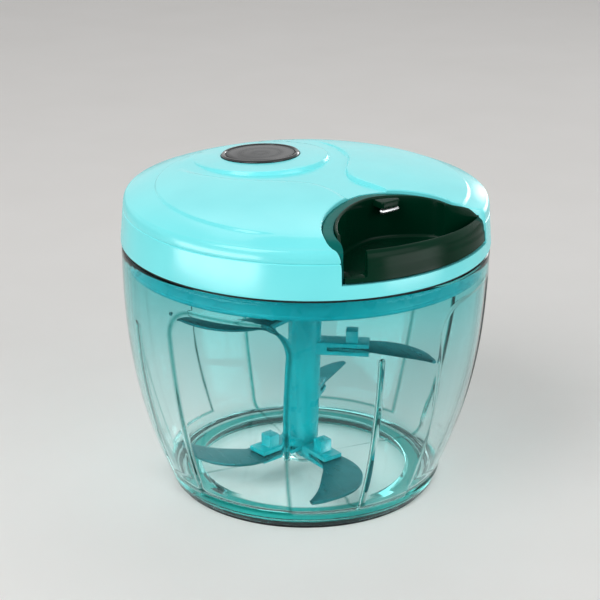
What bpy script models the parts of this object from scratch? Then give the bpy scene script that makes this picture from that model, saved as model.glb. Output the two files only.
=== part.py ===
"""Hand-pulled vegetable chopper: a clear bowl, a blade spindle on its floor, and a lid
that holds a cord reel, a recoil spring and a pull handle.

Metres, Z up. The origin is the centre of the base on the table. The handle pulls out
along -Y, and the round badge on the lid lies opposite, at +Y.
"""

import math

import bmesh
import bpy
from mathutils import Matrix

# Fits that every piece shares
SEAT_GAP = 0.0003
MOVE_GAP = 0.0004
OVERRUN = 0.003
MERGE = 0.000001

# Bowl: its outer radius grows from base to rim by a falling power of the height
BOWL_BASE_RADIUS = 0.0498
BOWL_RIM_RADIUS = 0.0667
BOWL_HEIGHT = 0.0897
BOWL_CURVE_SHARE = 2.45
BOWL_WALL = 0.0022
BOWL_FLOOR = 0.0018
BOWL_RECESS = 0.0014
BOWL_RECESS_INSET = 0.0078
BOWL_STEP_INSET = 0.0050
BOWL_STEP = 0.0006
BOWL_FILLET = 0.0035
SOCKET_RADIUS = 0.0033
SOCKET_WALL = 0.0020
SOCKET_HEIGHT = 0.0018

# Foot ring: black rubber under the bowl, with a tongue that grips a groove in the bowl's base
FOOT_SETBACK = 0.0010
FOOT_RADIUS = BOWL_BASE_RADIUS - FOOT_SETBACK
FOOT_WIDTH = 0.0045
FOOT_THICK = 0.0023
FOOT_TONGUE_INSET = 0.0015
FOOT_TONGUE_WIDTH = 0.0014
FOOT_TONGUE_HEIGHT = 0.0014
FOOT_EDGE = 0.0006
BOWL_RECESS_RADIUS = FOOT_RADIUS - BOWL_RECESS_INSET
BOWL_STEP_RADIUS = BOWL_RECESS_RADIUS - BOWL_STEP_INSET

# Arched facets pressed into the bowl's outside, and the ribs between them inside
ARCH_COUNT = 4
ARCH_TURN = math.radians(26)
ARCH_TOP_WIDTH = 0.0460
ARCH_FOOT_WIDTH = 0.0350
ARCH_LOW = 0.0070
ARCH_HIGH = 0.0840
ARCH_CORNER = 0.0110
ARCH_DEPTH = 0.0009
RIB_TURN = math.radians(74.5)
RIB_WIDTH = 0.0018
RIB_DEPTH = 0.0013
RIB_HIGH = 0.0700

# Seal ring between the bowl's rim and the lid
SEAL_THICK = 0.0013
SEAL_SETBACK = 0.0002

# Lid cover: skirt, rounded shoulder, sloping band, low step and shallow dome
LID_OVERHANG = 0.0003
LID_RADIUS = BOWL_RIM_RADIUS + LID_OVERHANG
LID_WALL = 0.0022
SKIRT_HEIGHT = 0.0124
SKIRT_TAPER = 0.0010
SHOULDER_DROP = 0.0017
SHOULDER_RISE = 0.0042
BAND_RISE = 0.0034
BAND_CURVE_SHARE = 2.4
STEP_SETBACK = 0.0140
STEP_RADIUS = LID_RADIUS - STEP_SETBACK
STEP_WIDTH = 0.0009
STEP_RISE = 0.0008
DOME_RISE = 0.0033
DOME_CURVE_SHARE = 2.4
TURN_STEPS = 56

# Lid base: plate and plug that drops into the bowl
PLATE_THICK = 0.0022
PLUG_CLEARANCE = 0.0008
PLUG_WALL = 0.0020
PLUG_DEPTH = 0.0084
PLUG_BEAD = 0.0004
PLUG_BEAD_HEIGHT = 0.0014
COLLAR_WALL = 0.0022
COLLAR_HEIGHT = 0.0016

# Screws that hold the plate to four posts in the cover
SCREW_OFFSET = 0.0010
SCREW_CIRCLE = STEP_RADIUS + SCREW_OFFSET
SCREW_TURNS = [math.radians(angle) for angle in (50, 135, 225, 310)]
SCREW_RADIUS = 0.0014
SCREW_HEAD_RADIUS = 0.0027
SCREW_HEAD = 0.0013
SCREW_LENGTH = 0.0090
POST_RADIUS = 0.0034

# Handle bay: a leaf outline in plan, fuller on the left, open through the skirt
BAY_LEFT_HALF_WIDTH = 0.0335
BAY_RIGHT_HALF_WIDTH = 0.0262
BAY_MOUTH_HALF_WIDTH = 0.0320
BAY_SETBACK = 0.0145
BAY_WIDEST_Y = BAY_SETBACK - LID_RADIUS
BAY_BACK_Y = -0.0290
BAY_DEPTH = BAY_BACK_Y - BAY_WIDEST_Y
BAY_SHAPE_SHARE = 1.65
BAY_SILL = 0.0045
CRADLE_WALL = 0.0018
LEDGE_SUNK = 0.0012
LEDGE_WIDTH = 0.0037
LEDGE_RIGHT_WIDTH = 0.0042

# Pull handle: a leaf cup inside the bay, with a wall to pull on at the front
HANDLE_LEFT_HALF_WIDTH = BAY_LEFT_HALF_WIDTH - LEDGE_WIDTH
HANDLE_RIGHT_HALF_WIDTH = BAY_RIGHT_HALF_WIDTH - LEDGE_RIGHT_WIDTH
HANDLE_DEPTH = BAY_DEPTH - LEDGE_WIDTH
HANDLE_SUNK = 0.0004
HANDLE_FLOOR = 0.0018
HANDLE_WALL = 0.0018
GRIP_WALL = 0.0026
SCOOP_RADIUS = 0.0052
SCOOP_TURN = math.radians(-27.3)
SCOOP_SETBACK = 0.0002
TAB_WIDTH = 0.0110
TAB_THICK = 0.0034
TAB_HEIGHT = 0.0044
TAB_CLEARANCE = 0.0004

# Badge on the cover: a shallow black cup with a dark disc in it, a little off the middle line
BADGE_X = 0.0020
BADGE_Y = 0.0295
BADGE_RADIUS = 0.0146
BADGE_SUNK = 0.0013
BADGE_PROUD = 0.0006
BADGE_FLOOR = 0.0006
BADGE_RIM = 0.0015
BADGE_INSET = 0.0003

# Keyhole-shaped recess in the dome, from the badge's platform to the bay
PLATFORM_RADIUS = 0.0255
CHANNEL_RADIUS = 0.0312
CHANNEL_NECK_HALF_WIDTH = 0.0065
CHANNEL_NECK_Y = -0.0150
CHANNEL_MOUTH_HALF_WIDTH = 0.0100
CHANNEL_DEPTH = 0.0013
CHANNEL_FADE_SETBACK = 0.0040
CHANNEL_FADE_RADIUS = STEP_RADIUS - CHANNEL_FADE_SETBACK

# Drive hub: clutch cup above the plate, hexagonal socket below it
HUB_STEM_RADIUS = 0.0089
HUB_STEM_DROP = 0.0096
HUB_FLANGE_RADIUS = 0.0160
HUB_FLANGE = 0.0016
CLUTCH_WALL = 0.0018
CLUTCH_HEIGHT = 0.0032
CLUTCH_TEETH = 12
CLUTCH_TOOTH = 0.0009
HEX_RADIUS = 0.0052
HEX_DEPTH = 0.0092

# Cord reel, its pawl ring, recoil spring and spring cap
REEL_RADIUS = 0.0220
REEL_CORE_RADIUS = 0.0165
REEL_CORE_WALL = 0.0020
REEL_FLANGE = 0.0012
REEL_GROOVE = 0.0050
PAWL_RING_WIDTH = 0.0022
PAWL_HEIGHT = 0.0021
PAWL_ARM_WIDTH = 0.0012
PAWL_ARM_SWEEP = math.radians(105)
SPRING_TURNS = 7
SPRING_THICK = 0.0004
SPRING_HEIGHT = 0.0042
CAP_THICK = 0.0008

# Axle bolt, screwed up into the boss under the dome
AXLE_RADIUS = 0.0030
AXLE_HEAD_RADIUS = 0.0050
AXLE_HEAD = 0.0019
AXLE_BOSS_RADIUS = 0.0056
AXLE_THREAD_LENGTH = 0.0032

# Pull cord, its winding, eyelet and toggle bar
CORD_RADIUS = 0.0010
WINDING_THICK = 0.0014
EYELET_WALL = 0.0012
EYELET_FLANGE = 0.0009
EYELET_FLANGE_THICK = 0.0008
CORD_X = 0.0035
CORD_RISE = 0.0010
CORD_WRAP = math.radians(25)
CORD_BEND = 0.0030
TOGGLE_RADIUS = 0.0013
TOGGLE_LENGTH = 0.0090

# Blade spindle: a tapering column with a pointed foot, and five blade arms
SPINDLE_TOP_RADIUS = 0.0066
SPINDLE_LOW_RADIUS = 0.0054
SPINDLE_CONE_HEIGHT = 0.0080
SPINDLE_POINT_RADIUS = 0.0010
ARM_WIDTH = 0.0080
ARM_HEIGHT = 0.0046
ARM_NECK = 0.0085
ARM_TAB_LENGTH = 0.0044
ARM_TAB_WIDTH = 0.0050
ARM_TAB_HEIGHT = 0.0045
ARM_TAB_SETBACK = 0.0042
BLADE_THICK = 0.0010
BLADE_ROOT_WIDTH = 0.0066
BLADE_TIP_WIDTH = 0.0018
BLADE_BEND_SHARE = 1.5

# Each blade: name, height, turn, arm length, how far its tip stays inside the bowl's base radius,
# curl back to its tip, extra width at its belly
BLADES = [
    ("blade_1", 0.0512, math.radians(46), 0.0240, 0.0003, math.radians(14), 0.0060),
    ("blade_2", 0.0680, math.radians(283), 0.0240, -0.0002, math.radians(38), 0.0060),
    ("blade_3", 0.0295, math.radians(124), 0.0160, 0.0118, math.radians(8), 0.0020),
    ("blade_4", 0.0130, math.radians(272), 0.0230, 0.0043, math.radians(34), 0.0085),
    ("blade_5", 0.0103, math.radians(-2), 0.0180, 0.0028, math.radians(34), 0.0095),
]

AQUA = (0.300, 0.890, 0.905)
TEAL = (0.000, 0.420, 0.445)
DARK_TEAL = (0.002, 0.105, 0.100)
CLEAR_TEAL = (0.560, 0.860, 0.850)
DARK_GREEN = (0.004, 0.045, 0.032)
BLACK = (0.010, 0.010, 0.011)
STEEL = (0.560, 0.570, 0.580)
ZINC = (0.620, 0.620, 0.630)
CREAM = (0.720, 0.690, 0.600)

# Levels that the pieces are stacked on, from the table up
BOWL_Z = FOOT_THICK + SEAT_GAP
RIM_Z = BOWL_Z + BOWL_HEIGHT
FLOOR_Z = BOWL_Z + BOWL_RECESS + BOWL_FLOOR
SEAL_Z = RIM_Z + SEAT_GAP
LID_Z = SEAL_Z + SEAL_THICK + SEAT_GAP
PLATE_TOP_Z = LID_Z + PLATE_THICK
PLUG_RADIUS = BOWL_RIM_RADIUS - BOWL_WALL - PLUG_CLEARANCE
PLUG_Z = LID_Z - PLUG_DEPTH
CREASE_Z = LID_Z + SKIRT_HEIGHT
SHOULDER_Z = CREASE_Z + SHOULDER_RISE
STEP_Z = SHOULDER_Z + BAND_RISE
DOME_Z = STEP_Z + STEP_RISE + DOME_RISE
CREASE_RADIUS = LID_RADIUS - SKIRT_TAPER
SILL_Z = LID_Z + BAY_SILL
HUB_Z = PLATE_TOP_Z + COLLAR_HEIGHT + MOVE_GAP
HUB_TOP_Z = HUB_Z + HUB_FLANGE
REEL_Z = HUB_TOP_Z + CLUTCH_HEIGHT + MOVE_GAP
GROOVE_Z = REEL_Z + REEL_FLANGE
REEL_TOP_Z = GROOVE_Z + REEL_GROOVE + REEL_FLANGE
CORD_Z = GROOVE_Z + REEL_GROOVE / 2
HUB_LOW_Z = LID_Z - HUB_STEM_DROP
CORD_EXIT_Z = CORD_Z + CORD_RISE
HANDLE_BACK_Y = BAY_WIDEST_Y + HANDLE_DEPTH


def around(turn, radius, height):
    """A point at a turn counted from -Y towards +X"""
    return (radius * math.sin(turn), -radius * math.cos(turn), height)


def material(name, color, roughness, metallic=0.0, transmission=0.0):
    mat = bpy.data.materials.new(name)
    mat.use_nodes = True
    shader = mat.node_tree.nodes["Principled BSDF"]
    shader.inputs["Base Color"].default_value = (*color, 1.0)
    shader.inputs["Roughness"].default_value = roughness
    shader.inputs["Metallic"].default_value = metallic
    shader.inputs["Transmission Weight"].default_value = transmission
    return mat


def new_object(name, data, collection, mat=None):
    obj = bpy.data.objects.new(name, data)
    collection.objects.link(obj)
    if mat:
        data.materials.append(mat)
    if collection is CUTTERS:
        obj.hide_render = True
        obj.display_type = "WIRE"
    return obj


def turned(name, profile, steps, collection, mat=None, closed=False):
    """A profile of (radius, height) points turned about Z. An open one starts and ends on the axis."""
    mesh = bpy.data.meshes.new(name)
    edges = [(i, i + 1) for i in range(len(profile) - 1)]
    if closed:
        edges.append((len(profile) - 1, 0))
    mesh.from_pydata([(r, 0, z) for r, z in profile], edges, [])
    obj = new_object(name, mesh, collection, mat)
    screw = obj.modifiers.new("Turn", "SCREW")
    screw.axis = "Z"
    screw.steps = steps
    screw.render_steps = steps
    screw.use_merge_vertices = True
    screw.merge_threshold = MERGE
    return obj


def prism(name, outlines, low, high, collection, mat=None):
    """Closed plan outlines, the first the outside and the rest holes, extruded from low to high"""
    curve = bpy.data.curves.new(name, "CURVE")
    curve.dimensions = "2D"
    curve.fill_mode = "BOTH"
    curve.extrude = (high - low) / 2
    for points in outlines:
        spline = curve.splines.new("POLY")
        spline.points.add(len(points) - 1)
        for target, (x, y) in zip(spline.points, points):
            target.co = (x, y, 0, 1)
        spline.use_cyclic_u = True
    return welded(curve, name, Matrix.Translation((0, 0, (low + high) / 2)), collection, mat)


def welded(curve, name, place, collection, mat=None):
    """The evaluated curve as a closed mesh whose place is in its object"""
    holder = bpy.data.objects.new(name + "_curve", curve)
    bpy.context.scene.collection.objects.link(holder)
    graph = bpy.context.evaluated_depsgraph_get()
    mesh = bpy.data.meshes.new_from_object(holder.evaluated_get(graph))
    bpy.data.objects.remove(holder)
    bm = bmesh.new()
    bm.from_mesh(mesh)
    bmesh.ops.remove_doubles(bm, verts=bm.verts, dist=MERGE)
    bmesh.ops.recalc_face_normals(bm, faces=bm.faces)
    bm.to_mesh(mesh)
    bm.free()
    mesh.name = name
    obj = new_object(name, mesh, collection, mat)
    obj.matrix_world = place
    return obj


def block(name, low, high, collection, turn=0.0):
    """A box between two corners, then turned about Z"""
    mesh = bpy.data.meshes.new(name)
    bm = bmesh.new()
    bmesh.ops.create_cube(bm, size=1.0)
    size = [b - a for a, b in zip(low, high)]
    middle = [(a + b) / 2 for a, b in zip(low, high)]
    bmesh.ops.scale(bm, vec=size, verts=bm.verts)
    bmesh.ops.translate(bm, vec=middle, verts=bm.verts)
    bm.to_mesh(mesh)
    bm.free()
    obj = new_object(name, mesh, collection)
    obj.rotation_euler.z = turn
    return obj


def rod(name, radius, low, high, x, y, collection, sides=16):
    """An upright cylinder from low to high"""
    mesh = bpy.data.meshes.new(name)
    bm = bmesh.new()
    bmesh.ops.create_cone(
        bm, cap_ends=True, segments=sides, radius1=radius, radius2=radius, depth=high - low
    )
    bm.to_mesh(mesh)
    bm.free()
    obj = new_object(name, mesh, collection)
    obj.location = (x, y, (low + high) / 2)
    return obj


def combine(obj, other, operation):
    step = obj.modifiers.new(other.name, "BOOLEAN")
    step.operation = operation
    step.object = other
    step.solver = "EXACT"
    return obj


def cut(obj, other):
    return combine(obj, other, "DIFFERENCE")


def join(obj, other):
    return combine(obj, other, "UNION")


def keep_inside(obj, other):
    return combine(obj, other, "INTERSECT")


def shade(obj, sharp=math.radians(32)):
    obj.data.shade_smooth()
    obj.data.set_sharp_from_angle(angle=sharp)


def bowl_radius(z):
    """Outer radius of the bowl at a height"""
    t = min(max((z - BOWL_Z) / BOWL_HEIGHT, 0), 1)
    grown = 1 - (1 - t) ** BOWL_CURVE_SHARE
    return BOWL_BASE_RADIUS + (BOWL_RIM_RADIUS - BOWL_BASE_RADIUS) * grown


def heights(low, high, count):
    return [low + (high - low) * i / count for i in range(count + 1)]


def dome_height(r):
    """Height of the cover's outside at a radius, from the shoulder in to the middle"""
    inner = STEP_RADIUS - STEP_WIDTH
    if r <= inner:
        return DOME_Z - DOME_RISE * (r / inner) ** DOME_CURVE_SHARE
    if r <= STEP_RADIUS:
        return STEP_Z + STEP_RISE * (STEP_RADIUS - r) / STEP_WIDTH
    run = CREASE_RADIUS - SHOULDER_DROP - STEP_RADIUS
    return STEP_Z - BAND_RISE * ((r - STEP_RADIUS) / run) ** BAND_CURVE_SHARE


def cover_outline(sunk):
    """The cover's outside, from the middle out and down to the skirt's edge, moved in by sunk"""
    inner = STEP_RADIUS - STEP_WIDTH
    band_end = CREASE_RADIUS - SHOULDER_DROP
    radii = [inner * i / 6 for i in range(7)]
    radii += [STEP_RADIUS + (band_end - STEP_RADIUS) * i / 3 for i in range(4)]
    points = [(r, dome_height(r) - sunk) for r in radii]
    for i in (1, 2, 3):
        a = math.pi / 2 * i / 3
        z = CREASE_Z + (SHOULDER_RISE - sunk) * math.cos(a)
        points.append((band_end + SHOULDER_DROP * math.sin(a), z))
    points = [(min(r, CREASE_RADIUS - sunk), z) for r, z in points]
    return points + [(LID_RADIUS - sunk, LID_Z)]


def cover_envelope(name, sunk, low):
    """A solid filled up to the cover's outside, moved in by sunk"""
    points = cover_outline(sunk)
    points[-1] = (LID_RADIUS - sunk, low)
    return turned(name, points + [(0, low)], TURN_STEPS, CUTTERS)


def leaf_side(half, depth, share, end, mouth):
    """One side of a leaf in plan, from its back to its widest place and on out to the mouth"""
    side = []
    for i in range(13):
        a = math.pi / 2 * i / 12
        x = half * math.sin(a) ** (2 / share)
        side.append((x, BAY_WIDEST_Y + depth * math.cos(a) ** (2 / share)))
    run = -BAY_WIDEST_Y - math.sqrt(CREASE_RADIUS**2 - BAY_MOUTH_HALF_WIDTH**2)
    for i in (1, 2, 3):
        t = i / 3
        side.append((half + (end - half) * t * t, BAY_WIDEST_Y + run * t))
    side.append((end, -mouth))
    return side


def leaf(left, right, depth, offset, end, mouth):
    """A closed leaf outline, moved outwards by offset"""
    sides = [
        leaf_side(half + offset, depth + offset, BAY_SHAPE_SHARE, end + offset, mouth)
        for half in (right, left)
    ]
    return sides[0] + [(-x, y) for x, y in reversed(sides[1][1:])]


def bay_outline(offset=0.0):
    return leaf(
        BAY_LEFT_HALF_WIDTH, BAY_RIGHT_HALF_WIDTH, BAY_DEPTH, offset,
        BAY_MOUTH_HALF_WIDTH, LID_RADIUS + OVERRUN,
    )


def handle_outline(offset=0.0):
    return leaf(
        HANDLE_LEFT_HALF_WIDTH, HANDLE_RIGHT_HALF_WIDTH, HANDLE_DEPTH, offset,
        BAY_MOUTH_HALF_WIDTH - MOVE_GAP, LID_RADIUS + OVERRUN,
    )


def cavity_outline():
    """The inside of the handle in plan: its leaf drawn in by the wall, closed by the grip"""
    front = CREASE_RADIUS - GRIP_WALL
    sides = []
    for half in (HANDLE_RIGHT_HALF_WIDTH, HANDLE_LEFT_HALF_WIDTH):
        half -= HANDLE_WALL
        depth = HANDLE_DEPTH - HANDLE_WALL
        side = leaf_side(half, depth, BAY_SHAPE_SHARE, half, 0)[:13]
        start = math.asin(half / front)
        side += [around(start * (1 - i / 4), front, 0)[:2] for i in range(4)]
        sides.append(side)
    return sides[0] + [(0, -front)] + [(-x, y) for x, y in reversed(sides[1][1:])]


def cavity_back_y(x):
    """Where the cavity's back wall lies at a distance right of the middle"""
    half = HANDLE_RIGHT_HALF_WIDTH - HANDLE_WALL
    depth = HANDLE_DEPTH - HANDLE_WALL
    return BAY_WIDEST_Y + depth * (1 - (x / half) ** BAY_SHAPE_SHARE) ** (1 / BAY_SHAPE_SHARE)


def foot_ring():
    inner = FOOT_RADIUS - FOOT_WIDTH
    far = FOOT_RADIUS - FOOT_TONGUE_INSET
    near = far - FOOT_TONGUE_WIDTH
    top = FOOT_THICK + FOOT_TONGUE_HEIGHT
    profile = [
        (far, top), (far, FOOT_THICK), (FOOT_RADIUS, FOOT_THICK), (FOOT_RADIUS, FOOT_EDGE),
        (FOOT_RADIUS - FOOT_EDGE, 0), (inner + FOOT_EDGE, 0), (inner, FOOT_EDGE),
        (inner, FOOT_THICK), (near, FOOT_THICK), (near, top),
    ]
    return turned("foot_ring", profile, TURN_STEPS, PARTS, RUBBER, closed=True)


def bowl_inner_profile():
    """From the middle of the floor out, round the fillet and up the inner wall"""
    socket = SOCKET_RADIUS + SOCKET_WALL
    points = [
        (0, FLOOR_Z), (SOCKET_RADIUS, FLOOR_Z), (SOCKET_RADIUS, FLOOR_Z + SOCKET_HEIGHT),
        (socket, FLOOR_Z + SOCKET_HEIGHT), (socket, FLOOR_Z),
    ]
    bend_z = FLOOR_Z + BOWL_FILLET
    bend_r = bowl_radius(bend_z) - BOWL_WALL
    for i in range(4):
        a = math.pi / 2 * i / 3
        points.append((bend_r - BOWL_FILLET * (1 - math.sin(a)), bend_z - BOWL_FILLET * math.cos(a)))
    for z in heights(bend_z, RIM_Z, 8)[1:]:
        points.append((bowl_radius(z) - BOWL_WALL, z))
    return points


def shell_band(name, inset, outset, low, high):
    """A ring-shaped solid that follows the bowl's outer wall, from inset inside it to outset outside it"""
    levels = heights(low, high, 8)
    outer = [(bowl_radius(z) + outset, z) for z in reversed(levels)]
    inner = [(bowl_radius(z) - inset, z) for z in levels]
    return turned(name, outer + inner, TURN_STEPS, CUTTERS, closed=True)


def arch_outline():
    """Half width against height: straight leaning sides and two round upper corners"""
    half_top = ARCH_TOP_WIDTH / 2
    half_foot = ARCH_FOOT_WIDTH / 2
    side = [(half_foot, ARCH_LOW), (half_top, ARCH_HIGH - ARCH_CORNER)]
    for i in range(1, 6):
        a = math.pi / 2 * i / 5
        side.append(
            (half_top - ARCH_CORNER * (1 - math.cos(a)), ARCH_HIGH - ARCH_CORNER * (1 - math.sin(a)))
        )
    return side + [(-x, z) for x, z in reversed(side)]


def bowl():
    far = FOOT_RADIUS - FOOT_TONGUE_INSET + SEAT_GAP
    near = FOOT_RADIUS - FOOT_TONGUE_INSET - FOOT_TONGUE_WIDTH - SEAT_GAP
    groove = BOWL_Z + FOOT_TONGUE_HEIGHT
    under = BOWL_Z + BOWL_RECESS
    outer = [(bowl_radius(z), z) for z in reversed(heights(BOWL_Z, RIM_Z, 12))]
    base = [
        (far, BOWL_Z), (far, groove), (near, groove), (near, BOWL_Z),
        (BOWL_RECESS_RADIUS, BOWL_Z), (BOWL_RECESS_RADIUS, under), (BOWL_STEP_RADIUS, under),
        (BOWL_STEP_RADIUS, under + BOWL_STEP), (0, under + BOWL_STEP),
    ]
    body = turned("bowl", bowl_inner_profile() + outer + base, TURN_STEPS, PARTS, CLEAR_PLASTIC)
    for i in range(ARCH_COUNT):
        turn = 2 * math.pi * i / ARCH_COUNT
        name = f"arch_cutter_{i + 1}"
        reach = BOWL_RIM_RADIUS + OVERRUN
        window = prism(name, [arch_outline()], reach / 2, reach, CUTTERS)
        stand = Matrix.Rotation(ARCH_TURN + turn, 4, "Z") @ Matrix.Rotation(math.pi / 2, 4, "X")
        window.matrix_world = stand @ window.matrix_world
        keep_inside(window, ARCH_BAND)
        cut(body, window)
    for i in range(ARCH_COUNT):
        turn = 2 * math.pi * i / ARCH_COUNT
        low = (-RIB_WIDTH / 2, -BOWL_RIM_RADIUS, FLOOR_Z - BOWL_FLOOR / 2)
        high = (RIB_WIDTH / 2, -BOWL_BASE_RADIUS / 2, RIB_HIGH)
        rib = block(f"rib_{i + 1}", low, high, CUTTERS, RIB_TURN + turn)
        keep_inside(rib, RIB_BAND)
        join(body, rib)
    return body


def seal_ring():
    inner = PLUG_RADIUS + PLUG_BEAD + SEAT_GAP
    outer = BOWL_RIM_RADIUS - SEAL_SETBACK
    top = SEAL_Z + SEAL_THICK
    profile = [(outer, top), (outer, SEAL_Z), (inner, SEAL_Z), (inner, top)]
    return turned("seal_ring", profile, TURN_STEPS, PARTS, RUBBER, closed=True)


def lid_base():
    flange = LID_RADIUS - SKIRT_TAPER * PLATE_THICK / SKIRT_HEIGHT - LID_WALL - SEAT_GAP
    bead_top = PLUG_Z + PLUG_BEAD_HEIGHT
    bead = PLUG_RADIUS + PLUG_BEAD
    hole = HUB_STEM_RADIUS + MOVE_GAP
    collar = hole + COLLAR_WALL
    collar_top = PLATE_TOP_Z + COLLAR_HEIGHT
    profile = [
        (collar, collar_top), (collar, PLATE_TOP_Z), (flange, PLATE_TOP_Z), (flange, LID_Z),
        (PLUG_RADIUS, LID_Z), (PLUG_RADIUS, bead_top), (bead, bead_top), (bead, PLUG_Z),
        (PLUG_RADIUS - PLUG_WALL, PLUG_Z), (PLUG_RADIUS - PLUG_WALL, LID_Z),
        (hole, LID_Z), (hole, collar_top),
    ]
    body = turned("lid_base", profile, TURN_STEPS, PARTS, TEAL_PLASTIC, closed=True)
    for i, turn in enumerate(SCREW_TURNS, 1):
        x, y, _ = around(turn, SCREW_CIRCLE, 0)
        hole = rod(
            f"plate_hole_{i}", SCREW_RADIUS + SEAT_GAP, LID_Z - OVERRUN, PLATE_TOP_Z + OVERRUN,
            x, y, CUTTERS, 12,
        )
        cut(body, hole)
    return body


def channel_outline():
    """The keyhole recess in plan: round about the badge, a narrow neck, wider again at the bay"""
    side = []
    neck = CHANNEL_NECK_HALF_WIDTH
    for i in range(15):
        a = 2 * math.pi / 3 * i / 14
        side.append((CHANNEL_RADIUS * math.sin(a), BADGE_Y + CHANNEL_RADIUS * math.cos(a)))
    meet_half, meet = side[-1]
    for i in range(1, 9):
        t = i / 8
        ease = t * t * (3 - 2 * t)
        y = meet + (CHANNEL_NECK_Y - meet) * t
        side.append((meet_half + (neck - meet_half) * ease, y))
    for i in (1, 2, 3):
        t = i / 3
        x = neck + (CHANNEL_MOUTH_HALF_WIDTH - neck) * t * t
        side.append((x, CHANNEL_NECK_Y + (BAY_BACK_Y - OVERRUN - CHANNEL_NECK_Y) * t))
    return [(BADGE_X + x, y) for x, y in side + [(-x, y) for x, y in reversed(side[1:])]]


def channel_floor():
    """A solid up to the recess's floor, which rises through the dome's top as it nears the step"""
    radii = [LID_RADIUS * i / 10 for i in range(11)]
    points = [(r, dome_height(0) - CHANNEL_DEPTH + channel_rise(r)) for r in radii]
    points += [(LID_RADIUS, LID_Z), (0, LID_Z)]
    return turned("channel_floor", points, TURN_STEPS, CUTTERS)


def channel_rise(r):
    inner = STEP_RADIUS - STEP_WIDTH
    lift = CHANNEL_DEPTH * (r / CHANNEL_FADE_RADIUS) ** DOME_CURVE_SHARE
    return lift - DOME_RISE * (r / inner) ** DOME_CURVE_SHARE


def circle(radius, x, y, sides):
    turns = [2 * math.pi * i / sides for i in range(sides)]
    return [(x + radius * math.cos(a), y + radius * math.sin(a)) for a in turns]


def badge_place(height):
    """The badge's seat: on the dome, square to its slope, with height along its own axis"""
    inner = STEP_RADIUS - STEP_WIDTH
    slope = DOME_RISE * DOME_CURVE_SHARE * (BADGE_Y / inner) ** (DOME_CURVE_SHARE - 1) / inner
    seat = Matrix.Translation((BADGE_X, BADGE_Y, dome_height(BADGE_Y)))
    tilt = Matrix.Rotation(-math.atan(slope), 4, "X")
    return seat @ tilt @ Matrix.Translation((0, 0, height))


def lid_cover():
    profile = cover_outline(0) + cover_outline(LID_WALL)[::-1]
    body = turned("lid_cover", profile, TURN_STEPS, PARTS, AQUA_PLASTIC)
    inner_top = dome_height(SCREW_CIRCLE) - LID_WALL / 2
    for i, turn in enumerate(SCREW_TURNS, 1):
        x, y, _ = around(turn, SCREW_CIRCLE, 0)
        low = PLATE_TOP_Z + SEAT_GAP
        join(body, rod(f"post_{i}", POST_RADIUS, low, inner_top, x, y, CUTTERS))
        top = LID_Z + SCREW_LENGTH
        hole = rod(
            f"post_hole_{i}", SCREW_RADIUS + SEAT_GAP, low - OVERRUN, top, x, y, CUTTERS, 12
        )
        cut(body, hole)
    boss_low = REEL_TOP_Z + MOVE_GAP
    boss_top = DOME_Z - (LID_WALL + CHANNEL_DEPTH) / 2
    join(body, rod("axle_boss", AXLE_BOSS_RADIUS, boss_low, boss_top, 0, 0, CUTTERS))
    hole_top = boss_low + AXLE_THREAD_LENGTH + SEAT_GAP
    hole = rod("axle_hole", AXLE_RADIUS + SEAT_GAP, boss_low - OVERRUN, hole_top, 0, 0, CUTTERS)
    cut(body, hole)
    bay = prism("bay_cutter", [bay_outline()], SILL_Z, DOME_Z + OVERRUN, CUTTERS)
    cut(body, bay)
    high = DOME_Z + OVERRUN
    channel = prism("channel_cutter", [channel_outline()], STEP_Z, high, CUTTERS)
    platform = rod(
        "platform", PLATFORM_RADIUS, LID_Z, high + OVERRUN, BADGE_X, BADGE_Y, CUTTERS, 40
    )
    cut(channel, platform)
    cut(channel, channel_floor())
    cut(body, channel)
    seat = rod("badge_cutter", BADGE_RADIUS + SEAT_GAP, 0, BADGE_SUNK + OVERRUN, 0, 0, CUTTERS, 40)
    seat.matrix_world = badge_place((OVERRUN - BADGE_SUNK) / 2)
    cut(body, seat)
    return body


def lid_screws():
    """Four screws with pan heads under the plate"""
    for i, turn in enumerate(SCREW_TURNS, 1):
        head_top = LID_Z - SEAT_GAP
        head_low = head_top - SCREW_HEAD
        top = LID_Z + SCREW_LENGTH - SEAT_GAP
        edge = SCREW_HEAD_RADIUS - SCREW_HEAD / 2
        profile = [
            (0, top), (SCREW_RADIUS, top - SCREW_RADIUS), (SCREW_RADIUS, head_top),
            (SCREW_HEAD_RADIUS, head_top), (SCREW_HEAD_RADIUS, head_top - SCREW_HEAD / 2),
            (edge, head_low), (0, head_low),
        ]
        screw = turned(f"lid_screw_{i}", profile, 12, PARTS, ZINC_PLATE)
        screw.location = around(turn, SCREW_CIRCLE, 0)


def handle_cradle():
    """Tray under the bay: floor, wall, a sunk ledge round the handle and a hole for the cord"""
    low = PLATE_TOP_Z + SEAT_GAP
    high = DOME_Z + OVERRUN
    body = prism("handle_cradle", [bay_outline(CRADLE_WALL)], low, high, PARTS, DEEP_TEAL)
    keep_inside(body, cover_envelope("cradle_limit", LID_WALL + SEAT_GAP, low - OVERRUN))
    ledge = prism("ledge", [bay_outline(-SEAT_GAP)], SILL_Z + SEAT_GAP, high, CUTTERS)
    keep_inside(ledge, cover_envelope("ledge_limit", LEDGE_SUNK, low - OVERRUN))
    join(body, ledge)
    room = handle_outline(MOVE_GAP)
    cut(body, prism("cradle_cutter", [room], SILL_Z, high + OVERRUN, CUTTERS))
    hole = rod(
        "eyelet_hole", CORD_RADIUS + MOVE_GAP + EYELET_WALL + SEAT_GAP, 0, BAY_DEPTH,
        0, 0, CUTTERS, 20,
    )
    hole.matrix_world = along_y(BAY_BACK_Y)
    cut(body, hole)
    return body


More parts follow.
